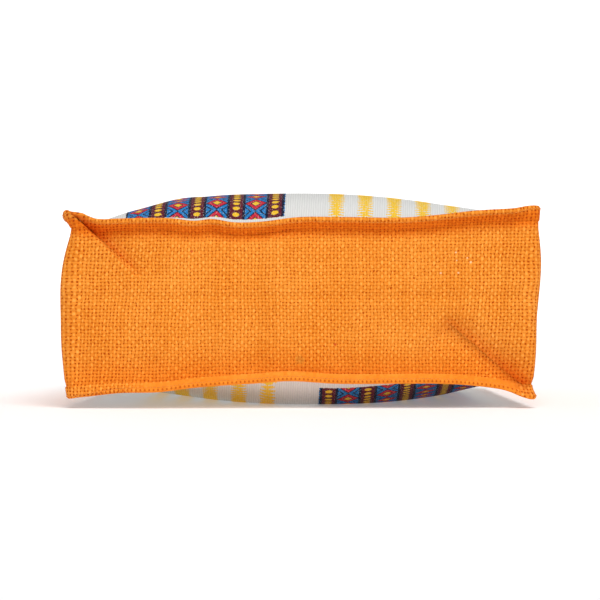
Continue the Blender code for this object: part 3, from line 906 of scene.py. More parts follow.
def add_stitches(name, material, lines):
    """Stitches along lines of points, each with its normals, joined into one mesh."""
    points, faces = one_stitch()
    pitch, thickness = sizes().stitch_pitch, sizes().thread_thickness
    all_points, all_faces, cloth = [], [], []
    seed = np.random.default_rng(STITCH_SEED)
    dip = (0.5 - np.abs(points[:, :1])) * thickness * STITCH["dip"]
    sunk = thickness * STITCH["sunk"]
    for line, normals in lines:
        places, along, up = resampled(line, normals, pitch)
        for place, way, side, top in zip(places, along, np.cross(up, along), up):
            askew = seed.normal(0, STITCH["askew"])
            way, side = way + side * askew, side - way * askew
            length = pitch * seed.uniform(STITCH["shortest"], STITCH["longest"])
            shape = (
                points[:, :1] * length * way
                + points[:, 1:2] * thickness * side
                + (points[:, 2:] * thickness + dip - sunk) * top
            )
            first = len(all_points)
            all_points.extend(settled(place + shape).tolist())
            all_faces.extend([[first + k for k in face] for face in faces])
            cloth.extend(points[:, :2].tolist())
    return object_of(name, all_points, all_faces, cloth, [material])


LIP_STITCH_FROM_EDGE = 0.0015
HEM_STITCH_AT = np.array([BAG_HEIGHT - HEM_DEPTH + 0.0030])
SIDE_STITCH_SHARES = np.linspace(0.03, 0.97, 90)
STRAP_STITCH_INSET = 0.0030
BOX_INSETS = {"end": 0.004, "mouth": 0.005, "side": 0.0055}
BOX_STEPS = 13


def on_both_faces(points, outward, outside, inside):
    """Lines on the outside and on the inside of some points, each with its normals."""
    return [(points + outward * outside, outward), (points - outward * inside, -outward)]


def lip_stitch_lines():
    """Lines round both lips, on their front and on their back."""
    route = stations()
    low, high = seam_heights(route)
    lines = []
    for level, seam_z in ((UP, high), (DOWN, low)):
        out, across, straight, radius = lip_of(route, level)
        reach = straight + radius - LIP_STITCH_FROM_EDGE
        front = LAYER_GAP / 2 + GUSSET_CLOTH
        back = front - 2 * radius - GUSSET_CLOTH
        turn = route["turn"]
        flat_x, flat_y = np.sin(turn) * across[:, 0], -np.cos(turn) * across[:, 0]
        normals = np.stack([flat_x, flat_y, across[:, 1]], -1)
        for aside, facing in ((front, 1), (back, -1)):
            points = row_in_lip(route, seam_z, out, across, reach, aside)
            lines.append((points, normals * facing))
    return lines


def gusset_hem_lines():
    """Lines across the sides, just over their hems' ends, outside and inside."""
    lines = []
    for side in (LEFT, RIGHT):
        points, outward = wall_at_side(side, HEM_STITCH_AT, SIDE_STITCH_SHARES)
        inside = GUSSET_CLOTH * 1.5 + LAYER_GAP
        lines += on_both_faces(points[0], outward[0], GUSSET_CLOTH / 2, inside)
    return lines


def panel_hem_lines(surface, level):
    """Lines just over a panel's hem's end, outside and inside."""
    points, upward, _ = panel_frame(surface, HEM_STITCH_AT)
    inside = PANEL_CLOTH * 1.5 + LAYER_GAP
    return on_both_faces(points[:, 0], level * upward[:, 0], PANEL_CLOTH / 2, inside)


def strap_edge_lines(surface, level, free_rows):
    """Lines along a strap near both its edges, on both its faces."""
    line, across, up, _ = strap_frame(surface, level, free_rows)
    lines = []
    for side in (LEFT, RIGHT):
        edge = line + across * side * (STRAP_WIDTH / 2 - STRAP_STITCH_INSET)
        lines += on_both_faces(edge, up, STRAP_CLOTH / 2, STRAP_CLOTH / 2)
    return lines


def handle_fixing_lines(surface, level):
    """The box and cross that hold a strap's end, on the panel's outside and on the strap."""
    near, far = BAG_HEIGHT - HANDLE_TUCK + BOX_INSETS["end"], BAG_HEIGHT - BOX_INSETS["mouth"]
    half = STRAP_WIDTH / 2 - BOX_INSETS["side"]
    corners = {"a": (-half, near), "b": (half, near), "c": (half, far), "d": (-half, far)}
    t = np.linspace(0, 1, BOX_STEPS + 1)[:, None]
    lines = []
    for side in (LEFT, RIGHT):
        for start, end in ("ab", "bc", "cd", "da", "ac", "bd"):
            plan = np.array(corners[start]) * (1 - t) + np.array(corners[end]) * t
            x, y = plan[:, 0] + side * HANDLE_X, plan[:, 1]
            slope_x, slope_y = slopes(surface, x, y, SMALL_STEP)
            outward = level * unit(np.stack([-slope_x, -slope_y, np.ones_like(x)], -1))
            points = on_surface(surface, x, y)
            lines += on_both_faces(points, outward, PANEL_CLOTH / 2, UNDER_HEM + STRAP_CLOTH / 2)
    return lines


# Materials


class Number:
    """An output in a node tree, with operators that add Math nodes."""

    def __init__(self, finish, socket):
        self.finish, self.socket = finish, socket

    def math(self, operation, *others):
        values = dict(enumerate((self, *others)))
        return self.finish.node("ShaderNodeMath", {"operation": operation}, values)

    def __add__(self, other):
        return self.math("ADD", other)

    __radd__ = __add__

    def __sub__(self, other):
        return self.math("SUBTRACT", other)

    def __rsub__(self, other):
        return self.finish.node("ShaderNodeMath", {"operation": "SUBTRACT"}, {0: other, 1: self})

    def __mul__(self, other):
        return self.math("MULTIPLY", other)

    __rmul__ = __mul__

    def __truediv__(self, other):
        return self.math("DIVIDE", other)

    def __pow__(self, other):
        return self.math("POWER", other)

    def __abs__(self):
        return self.math("ABSOLUTE")

    def floor(self):
        return self.math("FLOOR")

    def fract(self):
        return self.math("FRACT")

    def sine(self):
        return self.math("SINE")

    def most(self, other):
        return self.math("MAXIMUM", other)

    def least(self, other):
        return self.math("MINIMUM", other)

    def root(self):
        return self.math("SQRT")


class Finish:
    """A material in the making: every node in it comes from node()."""

    def __init__(self, name):
        self.material = bpy.data.materials.new(name)
        self.material.use_nodes = True
        self.tree = self.material.node_tree
        self.tree.nodes.clear()

    def node(self, kind, settings=None, sockets=None, output=0):
        """Adds a node, sets its settings and then its sockets, and gives an output."""
        made = self.tree.nodes.new(kind)
        for name, value in (settings or {}).items():
            setattr(made, name, value)
        for name, value in (sockets or {}).items():
            if isinstance(value, Number):
                self.tree.links.new(value.socket, made.inputs[name])
            else:
                made.inputs[name].default_value = value
        return Number(self, made.outputs[output]) if made.outputs else None

    def place(self, uv_map):
        """A UV map's two numbers, in metres."""
        place = self.node("ShaderNodeUVMap", {"uv_map": uv_map})
        return tuple(self.node("ShaderNodeSeparateXYZ", {}, {0: place}, k) for k in range(2))

    def vector(self, x, y, z=0.0):
        return self.node("ShaderNodeCombineXYZ", {}, {0: x, 1: y, 2: z})

    def noise(self, x, y, scale=1.0, detail=1.0):
        """Smooth noise from about 0 to 1 with an average of a half."""
        settings = {"noise_dimensions": "2D"}
        sockets = {"Vector": self.vector(x, y), "Scale": scale, "Detail": detail}
        return self.node("ShaderNodeTexNoise", settings, sockets)

    def chance(self, x, y):
        """A number from 0 to 1 that differs from one whole place to the next."""
        settings = {"noise_dimensions": "2D"}
        return self.node("ShaderNodeTexWhiteNoise", settings, {"Vector": self.vector(x, y)})

    def between(self, value, low, high):
        """0 under low and 1 over high, and smooth between them."""
        settings = {"interpolation_type": "SMOOTHSTEP", "clamp": True}
        return self.node("ShaderNodeMapRange", settings, {0: value, 1: low, 2: high})

    def band(self, value, edges):
        """1 over a stretch and 0 outside it, given by its start, full, last and end."""
        start, full, last, end = edges
        return self.between(value, start, full) * self.between(value, end, last)

    def mix(self, share, first, second):
        """A colour between two, given as links or as colours."""
        colour = [c if isinstance(c, Number) else (*c, 1.0) for c in (first, second)]
        sockets = {0: share, 6: colour[0], 7: colour[1]}
        return self.node("ShaderNodeMix", {"data_type": "RGBA"}, sockets, output=2)

    def tinted(self, share, colour, tint):
        """A colour multiplied by another as far as a share says."""
        sockets = {0: colour, 1: tint}
        full = self.node("ShaderNodeVectorMath", {"operation": "MULTIPLY"}, sockets)
        return self.mix(share, colour, full)

    def toned(self, colour, factor):
        """A colour made lighter or darker by a number."""
        tone = self.vector(factor, factor, factor)
        return self.node("ShaderNodeVectorMath", {"operation": "MULTIPLY"}, {0: colour, 1: tone})

    def warmly_toned(self, colour, factor, red_share):
        """The same, with its red by a share of it and its blue by its square."""
        tone = self.vector(factor * red_share + (1 - red_share), factor, factor * factor)
        return self.node("ShaderNodeVectorMath", {"operation": "MULTIPLY"}, {0: colour, 1: tone})

    def done(self, colour, height, roughness, relief, glow=0.0):
        """Puts the shader in and gives the material."""
        bump = self.node(
            "ShaderNodeBump", {}, {"Height": height, "Distance": relief, "Strength": 1.0})
        shader = self.node("ShaderNodeBsdfPrincipled", {}, {
            "Base Color": colour,
            "Roughness": roughness,
            "Normal": bump,
            "Specular IOR Level": 0.1,
            "Emission Color": (1.0, 1.0, 1.0, 1.0),
            "Emission Strength": glow,
        })
        self.node("ShaderNodeOutputMaterial", {}, {"Surface": shader})
        return self.material


def distance(off_u, off_v):
    """How far two offsets, one along each way, are together."""
    return (off_u ** 2.0 + off_v ** 2.0).root()


# The burlap's weave, in shares of the pitch between its threads, and how finely each
# unevenness varies
WEAVE = {
    "wander": 0.9, "wander_scale": 40.0, "jitter": 0.35, "jitter_scale": 420.0,
    "uneven": 0.44, "uneven_scale": 260.0, "upright_thicker": 0.025,
}
THREAD_EDGE = (1.12, 0.88)
THREAD_TOP = {"flat": 0.45, "round": 0.30, "crossing": 0.25}


def weave(finish, u, v, pitch_u, pitch_v, half_thread):
    """A plain weave's height, where its upright thread is uppermost, and its threads."""
    wander_u, wander_v = (
        finish.noise(u + apart, v, WEAVE["wander_scale"], 2.0) - 0.5 for apart in (0.0, 5.3))
    jitter_u, jitter_v = (
        finish.noise(u + apart, v + lower, WEAVE["jitter_scale"], 0.0) - 0.5
        for apart, lower in ((0.0, 2.9), (8.1, 0.0)))
    across = u / pitch_u + wander_u * WEAVE["wander"] + jitter_u * WEAVE["jitter"]
    along = v / pitch_v + wander_v * WEAVE["wander"] + jitter_v * WEAVE["jitter"]
    parity = (across * math.pi).sine() * (along * math.pi).sine()

    def thread(counted, thickness, over):
        """One way's threads: how far from a thread's middle, its mask and its height."""
        half = half_thread + over * WEAVE["upright_thicker"] + (thickness - 0.5) * WEAVE["uneven"]
        reach = abs(counted.fract() - 0.5) / half
        mask = finish.between(reach, *THREAD_EDGE)
        rounded = (1 - reach * reach).most(0.0).root()
        top = THREAD_TOP["flat"] + THREAD_TOP["round"] * rounded
        return reach, mask, mask * (top + over * THREAD_TOP["crossing"] * parity)

    scale = WEAVE["uneven_scale"]
    reach_u, mask_u, top_u = thread(across, finish.noise(across.floor() * 3.7, v, scale), 1)
    _, _, top_v = thread(along, finish.noise(u, along.floor() * 3.7, scale), -1)
    return {
        "height": top_u.most(top_v),
        "upright": finish.between(top_u - top_v, -0.08, 0.08),
        "crown": mask_u * finish.between(reach_u, 0.95, 0.35),
        "closed": finish.chance((across + 0.5).floor() + 31.0, (along + 0.5).floor() + 17.0),
        "column": across.floor(),
        "row": along.floor(),
        "across": across,
        "along": along,
    }


# How wide half a thread is, against the pitch, and the smooth strip of the lower lip, where
# the threads are pulled tight, by its stretch along the base and its edge at the seam
HALF_THREAD = {"strap": 0.42, "gusset": 0.355, "open": 0.030, "pulled_tight": 0.20}
OPEN_FROM = (0.075, 0.150)
SMOOTH_STRIP = (-0.128, -0.100, 0.150, 0.159)
SMOOTH_STRIP_EDGE = (-0.0004, 0.0012)

# The burlap's colour: what each unevenness adds to its tone, the painted highlight on the threads'
# tops and on the lower lip's smooth strip, and the painted shade by both lips
TONES = {
    "ground": 0.85, "fibres": 0.20, "thread": 0.18, "crossing": 0.10, "patches": 0.12,
    "pulled_tight": 0.07,
}
RED_SHARE = 0.65
BODY_VARIETY = 0.35
GLINT = {"height": (0.74, 0.98), "level": 0.40, "upright": 0.60, "crown": 0.30, "share": 0.85}
HOLE_HEIGHT = (0.02, 0.55)
CLOSED_HOLES = {"chance": (0.45, 1.0), "share": 0.65}
FIBRES = {"across": 9.0, "along": 1.5, "relief": 0.10}
# Painted shade under the upper lip and over the lower one
UPPER_SHADE = {"edges": (-0.0095, -0.0005, 0.0052, 0.0092), "share": 0.85, "tint": (0.91, 0.55, 0.10)}
LOWER_SHADE = {"edges": (-0.0260, -0.0030, -0.0006, 0.0006), "share": 0.60, "tint": (0.95, 0.70, 0.30)}

# Needle holes along the lower lip, in the holes' painted shade, and wear: a faint stain and
# specks in the flat cloth, each speck by its place, its radius and its colour
NEEDLE_HOLES = {"past_seam": LIP_LENGTH[DOWN] - 0.0008, "edge": (0.0009, 0.0004), "share": 0.75}
STAIN = {"u": -0.0010, "v": 0.0350, "edge": (0.0050, 0.0010), "ragged": 0.004, "share": 0.30}
STAIN_COLOUR = (0.36, 0.20, 0.03)
SPECK_SHARE = 0.7
REDDISH, LINT = (0.62, 0.05, 0.012), (0.95, 0.64, 0.38)
SPECKS = (
    (-0.0790, 0.1125, 0.0014, REDDISH), (0.0240, 0.0460, 0.0013, REDDISH),
    (-0.0010, 0.0790, 0.0008, REDDISH), (0.0984, 0.0969, 0.0010, LINT),
    (0.1190, 0.1047, 0.0011, LINT), (0.1085, 0.1118, 0.0009, LINT),
    (0.1106, 0.0971, 0.0009, LINT), (0.1092, 0.1060, 0.0007, LINT),
    (0.1165, 0.1078, 0.0008, LINT),
)


def shaded_by_lips(finish, colour, past_upper, past_lower):
    """The colour with painted shade, a deeper orange, under the upper lip and over the lower one."""
    for past, shade in ((past_upper, UPPER_SHADE), (past_lower, LOWER_SHADE)):
        share = finish.band(past, shade["edges"]) * shade["share"]
        colour = finish.tinted(share, colour, shade["tint"])
    return colour


def worn_and_hole_shaded(finish, colour, u, v, past_lower):
    """The colour with the stain, the needle holes in painted shade, and the specks."""
    away = distance(u - STAIN["u"], v - STAIN["v"])
    away = away + (finish.noise(u, v, scale=400.0) - 0.5) * STAIN["ragged"]
    stain = finish.between(away, *STAIN["edge"]) * STAIN["share"]
    colour = finish.mix(stain, colour, STAIN_COLOUR)
    pitch = sizes().stitch_pitch
    off_u = ((u / pitch).fract() - 0.5) * pitch
    hole = finish.between(
        distance(off_u, past_lower - NEEDLE_HOLES["past_seam"]), *NEEDLE_HOLES["edge"])
    # The needle holes take the holes' painted shade
    colour = finish.mix(hole * NEEDLE_HOLES["share"], colour, colours().burlap_hole_shade)
    for speck_u, speck_v, radius, speck_colour in SPECKS:
        speck = finish.between(distance(u - speck_u, v - speck_v), radius, radius * 0.4)
        colour = finish.mix(speck * SPECK_SHARE, colour, speck_colour)
    return colour


def burlap_finish(name, on_gusset):
    """Orange burlap: a plain weave of uneven threads, painted highlights and hole shade, with painted
    lip shade, stains and wear on the gusset.
    """
    palette = colours()
    finish = Finish(name)
    u, v = finish.place(CLOTH_MAP)
    half_thread, pulled_tight = HALF_THREAD["strap"], 0.0
    if on_gusset:
        past_upper, past_lower = finish.place(SEAM_MAP)
        pulled_tight = finish.between(past_lower, *SMOOTH_STRIP_EDGE) * finish.band(u, SMOOTH_STRIP)
        openness = HALF_THREAD["open"] * finish.between(abs(u), *OPEN_FROM)
        half_thread = (
            HALF_THREAD["gusset"] - openness + HALF_THREAD["pulled_tight"] * pulled_tight)
    cloth = weave(
        finish, u, v, sizes().thread_pitch_along, sizes().thread_pitch_across, half_thread)

    upright = cloth["upright"]
    across, along = FIBRES["across"], FIBRES["along"]
    fibres_u = finish.noise(cloth["across"] * across, cloth["along"] * along, detail=2.0)
    fibres_v = finish.noise(cloth["across"] * along + 40.0, cloth["along"] * across, detail=2.0)
    fibres = fibres_u * upright + fibres_v * (1 - upright)
    thread_tone = (
        finish.chance(cloth["column"], 3.0) * upright
        + finish.chance(7.0, cloth["row"]) * (1 - upright)
    )
    crossing_tone = finish.chance(cloth["column"], cloth["row"])
    patches = finish.noise(u, v, scale=30.0, detail=3.0)

    body = finish.mix(patches, palette.burlap, palette.burlap_pale_and_highlight)
    body = finish.mix(BODY_VARIETY, palette.burlap, body)
    # Painted highlight: the threads' tops, the upright ones most, go towards the pale colour
    glint = finish.between(cloth["height"], *GLINT["height"])
    glint = glint * (GLINT["level"] + GLINT["upright"] * upright)
    glint = (glint + GLINT["crown"] * cloth["crown"] * upright * crossing_tone).least(1.0)
    body = finish.mix(glint * (1 - pulled_tight) * GLINT["share"], body, palette.burlap_pale_and_highlight)
    # The last term makes the lower lip's smooth strip lighter, a painted highlight where it faces up
    # to the light
    tone = (
        TONES["ground"] + TONES["fibres"] * fibres + TONES["thread"] * (thread_tone - 0.5)
        + TONES["crossing"] * (crossing_tone - 0.5) + TONES["patches"] * (patches - 0.5)
        + TONES["pulled_tight"] * pulled_tight
    )
    body = finish.warmly_toned(body, tone, RED_SHARE)
    closed = finish.between(cloth["closed"], *CLOSED_HOLES["chance"]) * CLOSED_HOLES["share"]
    shown = finish.between(cloth["height"], *HOLE_HEIGHT).most(closed)
    # Between the threads the holes take their painted shade
    colour = finish.mix(shown, palette.burlap_hole_shade, body)
    if on_gusset:
        colour = shaded_by_lips(finish, colour, past_upper, past_lower)
        colour = worn_and_hole_shaded(finish, colour, u, v, past_lower)
    height = cloth["height"] + FIBRES["relief"] * (fibres - 0.5)
    return finish.done(colour, height, roughness=0.9, relief=0.0005)


CROSS_THREAD_PITCH = 0.0007
RIB_SHARE = 0.8


def ribs(finish, u, v):
    """The printed cloth's ribs and fine cross threads, as a height from 0 to 1."""
    sway = (finish.noise(u, v * 0.2, scale=140.0) - 0.5) * 0.5
    rib = abs(((u / sizes().rib_pitch + sway) * math.pi).sine())
    cross = abs((v / CROSS_THREAD_PITCH * math.pi).sine())
    return rib * RIB_SHARE + cross * (1 - RIB_SHARE)


STROKES = {"slant": 0.22, "uneven": 0.0012, "edge": 0.0003}
STROKES_SPREAD = (0.080, 0.010)
STROKE_GAPS = {"from": 0.55, "width": 0.10, "closed": 0.02, "skipped": 0.06, "softness": 0.08}
SPREAD_GAPS = {"from": 0.50, "width": 0.24, "skipped": 0.14}
SKIPPED = (0.49, 0.60)
INKED_TO = 0.48
INK_RAGGED = 0.12
STRIPES_END = (0.296, 0.294)


def stripe_mask(finish, u, v, coarseness):
    """Ragged columns of level strokes, one column for each stripe."""
    pitch, half = sizes().stripe_pitch, sizes().stripe_width / 2
    number = ((u - sizes().first_stripe) / pitch + 0.5).floor()
    off = abs(u - sizes().first_stripe - number * pitch)
    count = sizes().stripe_count
    counted = finish.band(number, (-0.6, -0.4, count - 0.6, count - 0.4))
    stroke = (v + off * STROKES["slant"]) / (sizes().stroke_pitch * coarseness)
    reach = half + (finish.chance(stroke.floor(), number * 3.0) - 0.5) * STROKES["uneven"]
    inside = finish.between(off, reach + STROKES["edge"], reach - STROKES["edge"])
    spread = finish.between(v, *STROKES_SPREAD)
    gap_from = STROKE_GAPS["from"] - SPREAD_GAPS["from"] * spread
    gap = finish.between(off, half * gap_from, half)
    gap = gap * (STROKE_GAPS["width"] + SPREAD_GAPS["width"] * spread) - STROKE_GAPS["closed"]
    skipped = finish.between(finish.noise(u + number * 0.4, v, scale=620.0), *SKIPPED)
    gap = gap + skipped * (STROKE_GAPS["skipped"] + SPREAD_GAPS["skipped"] * spread)
    ragged = (finish.noise(u, v, scale=900.0) - 0.5) * INK_RAGGED
    off_stroke = abs(stroke.fract() - 0.5) + ragged
    inked_to = INKED_TO - gap
    inked = finish.between(off_stroke, inked_to + STROKE_GAPS["softness"], inked_to)
    return inside * inked * counted * finish.between(v, *STRIPES_END)


EDGE_SOFTNESS = 0.0003
BLOCK_LEFT, BLOCK_RIGHT = -0.1290, -0.0150
BLOCK_START, BLOCK_END = 0.0150, 0.2700
BLOCK_ACROSS, BLOCK_ALONG = (
    (start, start + EDGE_SOFTNESS, end, end + EDGE_SOFTNESS)
    for start, end in ((BLOCK_LEFT, BLOCK_RIGHT), (BLOCK_START, BLOCK_END)))
DIAMOND_HEIGHT = 0.0240
DIAMOND_SHARE = 0.60
DIAMOND_RINGS = ((1.00, "navy"), (0.84, "red"), (0.48, "navy"), (0.36, "yellow"))
RING_EDGE = 0.02
CHEVRON = 1.42
CHEVRON_EDGE = (0.10, 0.06)
DOT_PITCH = 0.0080
DOT_EDGE = (0.0027, 0.0023)
OUTLINE = 0.0011
RAGGED = 0.0012
BLOCK_RAGGED = 0.0014
THIN_INK = {"chance": (0.66, 0.72), "share": 0.5}


def block_print(finish, u, v, ground):
    """Columns of diamonds and of dots, side by side."""
    palette = colours()
    pitch = sizes().column_pitch
    ragged = (finish.noise(u, v, scale=700.0) - 0.5) * RAGGED
    in_column = ((u - BLOCK_LEFT + ragged) / pitch).fract() * pitch
    wide = pitch * DIAMOND_SHARE
    off = in_column - wide / 2
    turn = (v / DIAMOND_HEIGHT).fract() - 0.5
    reach = abs(off) / (wide / 2) + abs(turn) * 2.0 + ragged * 30.0
    colour = palette.blue
    for ring, ink in DIAMOND_RINGS:
        within = finish.between(reach, ring + RING_EDGE, ring - RING_EDGE)
        colour = finish.mix(within, colour, getattr(palette, ink))
    chevron = finish.between(abs(reach - CHEVRON), *CHEVRON_EDGE)
    colour = finish.mix(chevron, colour, palette.navy)

    dotted = finish.between(in_column, wide - 0.0002, wide + 0.0002)
    dot_v = ((v / DOT_PITCH).fract() - 0.5) * DOT_PITCH
    dot = distance(in_column - (wide + pitch) / 2, dot_v) + ragged
    dots = finish.mix(finish.between(dot, *DOT_EDGE), palette.maroon, palette.yellow)
    colour = finish.mix(dotted, colour, dots)
    line = abs(in_column - wide).least(abs(in_column)).least(abs(in_column - pitch))
    colour = finish.mix(finish.between(line, OUTLINE, OUTLINE * 0.6), colour, palette.navy)

    edge = finish.noise(u, v, scale=500.0) * BLOCK_RAGGED
    inside = finish.band(u + edge, BLOCK_ACROSS) * finish.band(v + edge, BLOCK_ALONG)
    thin = finish.between(finish.noise(u, v * 0.35, scale=1500.0), *THIN_INK["chance"])
    return finish.mix(inside * (1 - THIN_INK["share"] * thin), ground, colour)


PRINT_SPREAD = 0.45
PRINT_SPREAD_END = 0.12
YELLOW_LIGHT = (0.95, 0.62, 0.08)
BACK_COARSENESS = 2.0
# The back panel's painted shade near the base, warm as if from orange light bounced off the gusset,
# and how far it reaches
BACK_WARM_PAINTED_SHADE = (0.99, 0.89, 0.85)
BACK_PAINTED_SHADE_REACH = (0.110, 0.030)
PANEL_TONES = {"ground": 0.88, "ribs": 0.15, "patches": 0.05, "slubs": 0.08}


def panel_finish(name, printed, on_back=False):
    """White ribbed cloth, with its print on the outside, which spreads a little upwards.

    The back panel has coarser strokes, and a warm painted shade near the base.
    """
    palette = colours()
    finish = Finish(name)
    u, v = finish.place(CLOTH_MAP)
    u = u / (1 + PRINT_SPREAD * v.least(PRINT_SPREAD_END))
    height = ribs(finish, u, v)
    patches = finish.noise(u, v, scale=22.0, detail=3.0)
    slubs = finish.noise(u * 12.0, v, scale=60.0, detail=2.0)
    # The ribs' tops come out lighter and their grooves darker, a painted shade along the ribs
    tone = (
        PANEL_TONES["ground"] + PANEL_TONES["ribs"] * height
        + PANEL_TONES["patches"] * (patches - 0.5) + PANEL_TONES["slubs"] * (slubs - 0.5)
    )
    colour = finish.toned(palette.white, tone)
    if printed:
        yellow = finish.toned(finish.mix(patches, palette.yellow, YELLOW_LIGHT), tone)
        stripes = stripe_mask(finish, u, v, BACK_COARSENESS if on_back else 1.0)
        colour = finish.mix(stripes, colour, yellow)
        colour = block_print(finish, u, v, colour)
    if on_back:
        # Painted shade near the base, warmed as if by orange light bounced off the gusset
        colour = finish.tinted(finish.between(v, *BACK_PAINTED_SHADE_REACH), colour, BACK_WARM_PAINTED_SHADE)
    return finish.done(colour, height, roughness=0.85, relief=0.00025)


THREAD_TWIST = (12.0, 6.0)
THREAD_SUNK = (0.30, 0.46)
THREAD_SHADES = {"twist": 0.75, "sunk": 0.25}
FLOOR_GLOW = 0.20


def darker(colour, factor):
    """A colour by a factor, worked out as numbers."""
    return tuple(factor * c for c in colour)


def thread_finish(name, colour):
    """Twisted sewing thread, with a painted shade at both ends of a stitch, where it goes into the
    cloth.
    """
    finish = Finish(name)
    u, v = finish.place(CLOTH_MAP)
    twist = abs((u * THREAD_TWIST[0] + v * THREAD_TWIST[1]).sine())
    body = finish.mix(twist, darker(colour, THREAD_SHADES["twist"]), colour)
    # Painted shade at the stitch's ends, where it goes into the cloth
    sunk = finish.between(abs(u), *THREAD_SUNK)
    body = finish.mix(sunk, body, darker(colour, THREAD_SHADES["sunk"]))
    return finish.done(body, twist, roughness=0.7, relief=0.0001)


def floor_finish():
    """White, and glowing a little."""
    finish = Finish("stage_floor")
    place = finish.node("ShaderNodeTexCoord", {}, {}, output=3)
    grain = finish.node("ShaderNodeTexNoise", {}, {"Vector": place, "Scale": 3.0})
    white = colours().floor
    colour = finish.mix(grain, darker(white, 0.99), white)
    return finish.done(colour, grain, roughness=0.9, relief=0.0, glow=FLOOR_GLOW)


# Operators


def sits(piece, slot, *nodes):
    """Makes a piece ride on the bag and stand for its nodes, which it hides. Its slot is not used."""
    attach(piece, BODY)
    if nodes:
        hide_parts(*nodes)
    return piece


FINISHES = {
    "burlap": lambda name: burlap_finish(name, on_gusset=True),
    "strap_burlap": lambda name: burlap_finish(name, on_gusset=False),
    "front_printed": lambda name: panel_finish(name, printed=True),
    "back_printed": lambda name: panel_finish(name, printed=True, on_back=True),
    "cloth_inside": lambda name: panel_finish(name, printed=False),
    "orange_thread": lambda name: thread_finish(name, colours().thread),
    "white_thread": lambda name: thread_finish(name, colours().white),
}


def finished(name):
    """A material by its name, made the first time."""
    return bpy.data.materials.get(name) or FINISHES[name](name)


def stitched(name, thread, lines, slot):
    """Stitches along some lines, which ride on the bag too."""
    return sits(add_stitches(name, finished(thread), lines), slot)


class BURLAPBAG_OT_gusset(Operator):
    """Adds the burlap strip that makes the base and both sides, and its stitching"""

    bl_idname = "burlap_bag.gusset"
    bl_label = "Gusset"

    def execute(self, context):
        cloth = sits(add_gusset(finished("burlap")), "orange_burlap", "gusset")
        lines = lip_stitch_lines() + gusset_hem_lines()
        stitches = stitched("gusset_stitching", "orange_thread", lines, "orange_burlap")
        return {"FINISHED"}


class BURLAPBAG_OT_panels(Operator):
    """Adds the printed front and back panels, and their hems' stitching"""

    bl_idname = "burlap_bag.panels"
    bl_label = "Panels"

    def execute(self, context):
        for name, printed, surface, level in (
            ("front_panel", "front_printed", front_surface, UP),
            ("back_panel", "back_printed", back_surface, DOWN),
        ):
            materials = [finished(printed), finished("cloth_inside")]
            cloth = add_panel(name + "_cloth", materials, surface, level)
            sits(cloth, "printed_cloth", name)
            lines = panel_hem_lines(surface, level)
            stitches = stitched(name + "_hem_stitching", "white_thread", lines, "printed_cloth")
        return {"FINISHED"}


class BURLAPBAG_OT_handles(Operator):
    """Adds both handles, and the stitching along them and at their ends"""

    bl_idname = "burlap_bag.handles"
    bl_label = "Handles"

    def execute(self, context):
        flat_rows = [(x, y, STRAP_CLOTH / 2, 0, 0, 1) for x, y in BACK_HANDLE_OUTLINE]
        for name, surface, level, rows in (
            ("front_handle", front_surface, UP, FRONT_HANDLE_ROUTE),
            ("back_handle", back_surface, DOWN, flat_rows),
        ):
            strap = add_strap(name + "_strap", finished("strap_burlap"), surface, level, rows)
            sits(strap, "orange_burlap", name)
            lines = strap_edge_lines(surface, level, rows) + handle_fixing_lines(surface, level)
            stitches = stitched(name + "_stitching", "orange_thread", lines, "orange_burlap")
            name.replace("handle", "panel") + "_cloth"
        return {"FINISHED"}


CAMERA_DISTANCE = 1.5
CAMERA_PLACE = (-0.00107, 0.0777)
VIEW_WIDTH = 0.429
SENSOR = 36.0
STAGE_RADIUS = 3.6
STAGE_SWEEP = 1.2
STAGE_STEPS = 10
STAGE_WALL = 0.6
STAGE_SIDES = 96
SUN_STRENGTH = 2.3
SUN_SOFTNESS = math.radians(36)
SUN_TURN = (math.radians(34), math.radians(10), 0)
WORLD_STRENGTH = 0.26


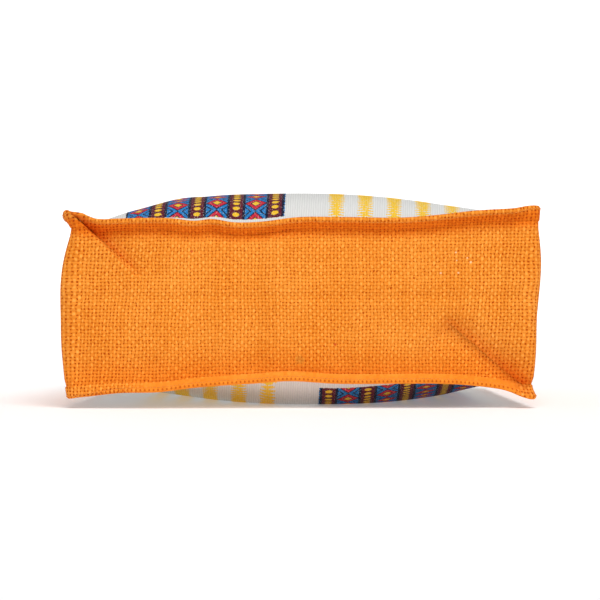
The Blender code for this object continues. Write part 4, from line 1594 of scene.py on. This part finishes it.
class BURLAPBAG_OT_stage(Operator):
    """Adds a pale floor that curves up all round, soft lights and the camera"""

    bl_idname = "burlap_bag.stage"
    bl_label = "Stage"

    def execute(self, context):
        scene = context.scene
        bpy.ops.object.select_all(action="DESELECT")
        bpy.ops.mesh.primitive_circle_add(
            vertices=STAGE_SIDES, radius=STAGE_RADIUS, fill_type="NGON")
        floor = context.object
        floor.name = floor.data.name = "stage_floor"
        bpy.ops.object.mode_set(mode="EDIT")
        bpy.ops.mesh.select_all(action="SELECT")
        bpy.ops.mesh.region_to_loop()
        turns = np.linspace(0, math.pi / 2, STAGE_STEPS + 1).tolist()
        for before, turn in zip(turns[:-1], turns[1:]):
            radii = [STAGE_RADIUS + STAGE_SWEEP * math.sin(at) for at in (before, turn)]
            wider = radii[1] / radii[0]
            rise = STAGE_SWEEP * (math.cos(before) - math.cos(turn))
            bpy.ops.mesh.extrude_edges_move(TRANSFORM_OT_translate={"value": (0, 0, rise)})
            bpy.ops.transform.resize(value=(wider, wider, 1), center_override=(0, 0, 0))
        bpy.ops.mesh.extrude_edges_move(TRANSFORM_OT_translate={"value": (0, 0, STAGE_WALL)})
        bpy.ops.object.mode_set(mode="OBJECT")
        bpy.ops.object.shade_smooth()
        floor.data.materials.append(floor_finish())

        lamp = bpy.data.lights.new("soft_light", "SUN")
        lamp.energy = SUN_STRENGTH
        lamp.angle = SUN_SOFTNESS
        light = bpy.data.objects.new("soft_light", lamp)
        light.rotation_euler = SUN_TURN
        scene.collection.objects.link(light)

        world = bpy.data.worlds.new("stage_world")
        world.use_nodes = True
        background = world.node_tree.nodes["Background"].inputs
        background["Color"].default_value = (1, 1, 1, 1)
        background["Strength"].default_value = WORLD_STRENGTH
        scene.world = world
        scene.view_settings.view_transform = "Standard"

        lens = bpy.data.cameras.new("camera")
        lens.sensor_width = SENSOR
        lens.lens = SENSOR * CAMERA_DISTANCE / VIEW_WIDTH
        camera = bpy.data.objects.new("camera", lens)
        camera.location = TO_ORIGIN + (CAMERA_PLACE[0], -CAMERA_DISTANCE, CAMERA_PLACE[1])
        camera.rotation_euler = (math.pi / 2, 0, 0)
        scene.collection.objects.link(camera)
        scene.camera = camera
        return {"FINISHED"}


class BURLAPBAG_PT_sidebar(Panel):
    """Lists the bag's pieces, sizes and colours"""

    bl_label = "Burlap Bag"
    bl_space_type = "VIEW_3D"
    bl_region_type = "UI"
    bl_category = "Burlap Bag"

    def draw(self, context):
        for operator in OPERATORS:
            self.layout.operator(operator.bl_idname)
        for group in (context.scene.burlap_bag_sizes, context.scene.burlap_bag_colours):
            box = self.layout.box()
            for name in group.__annotations__:
                box.prop(group, name)


OPERATORS = (BURLAPBAG_OT_stage, BURLAPBAG_OT_gusset, BURLAPBAG_OT_panels, BURLAPBAG_OT_handles)
CLASSES = (BurlapBagSizes, BurlapBagColours, *OPERATORS, BURLAPBAG_PT_sidebar)


def register():
    for kind in CLASSES:
        bpy.utils.register_class(kind)
    bpy.types.Scene.burlap_bag_sizes = PointerProperty(type=BurlapBagSizes)
    bpy.types.Scene.burlap_bag_colours = PointerProperty(type=BurlapBagColours)


def unregister():
    del bpy.types.Scene.burlap_bag_colours
    del bpy.types.Scene.burlap_bag_sizes
    for kind in reversed(CLASSES):
        bpy.utils.unregister_class(kind)


def main():
    register()
    bpy.ops.burlap_bag.stage()
    bpy.ops.burlap_bag.gusset()
    bpy.ops.burlap_bag.panels()
    bpy.ops.burlap_bag.handles()


if __name__ == "__main__":
    main()
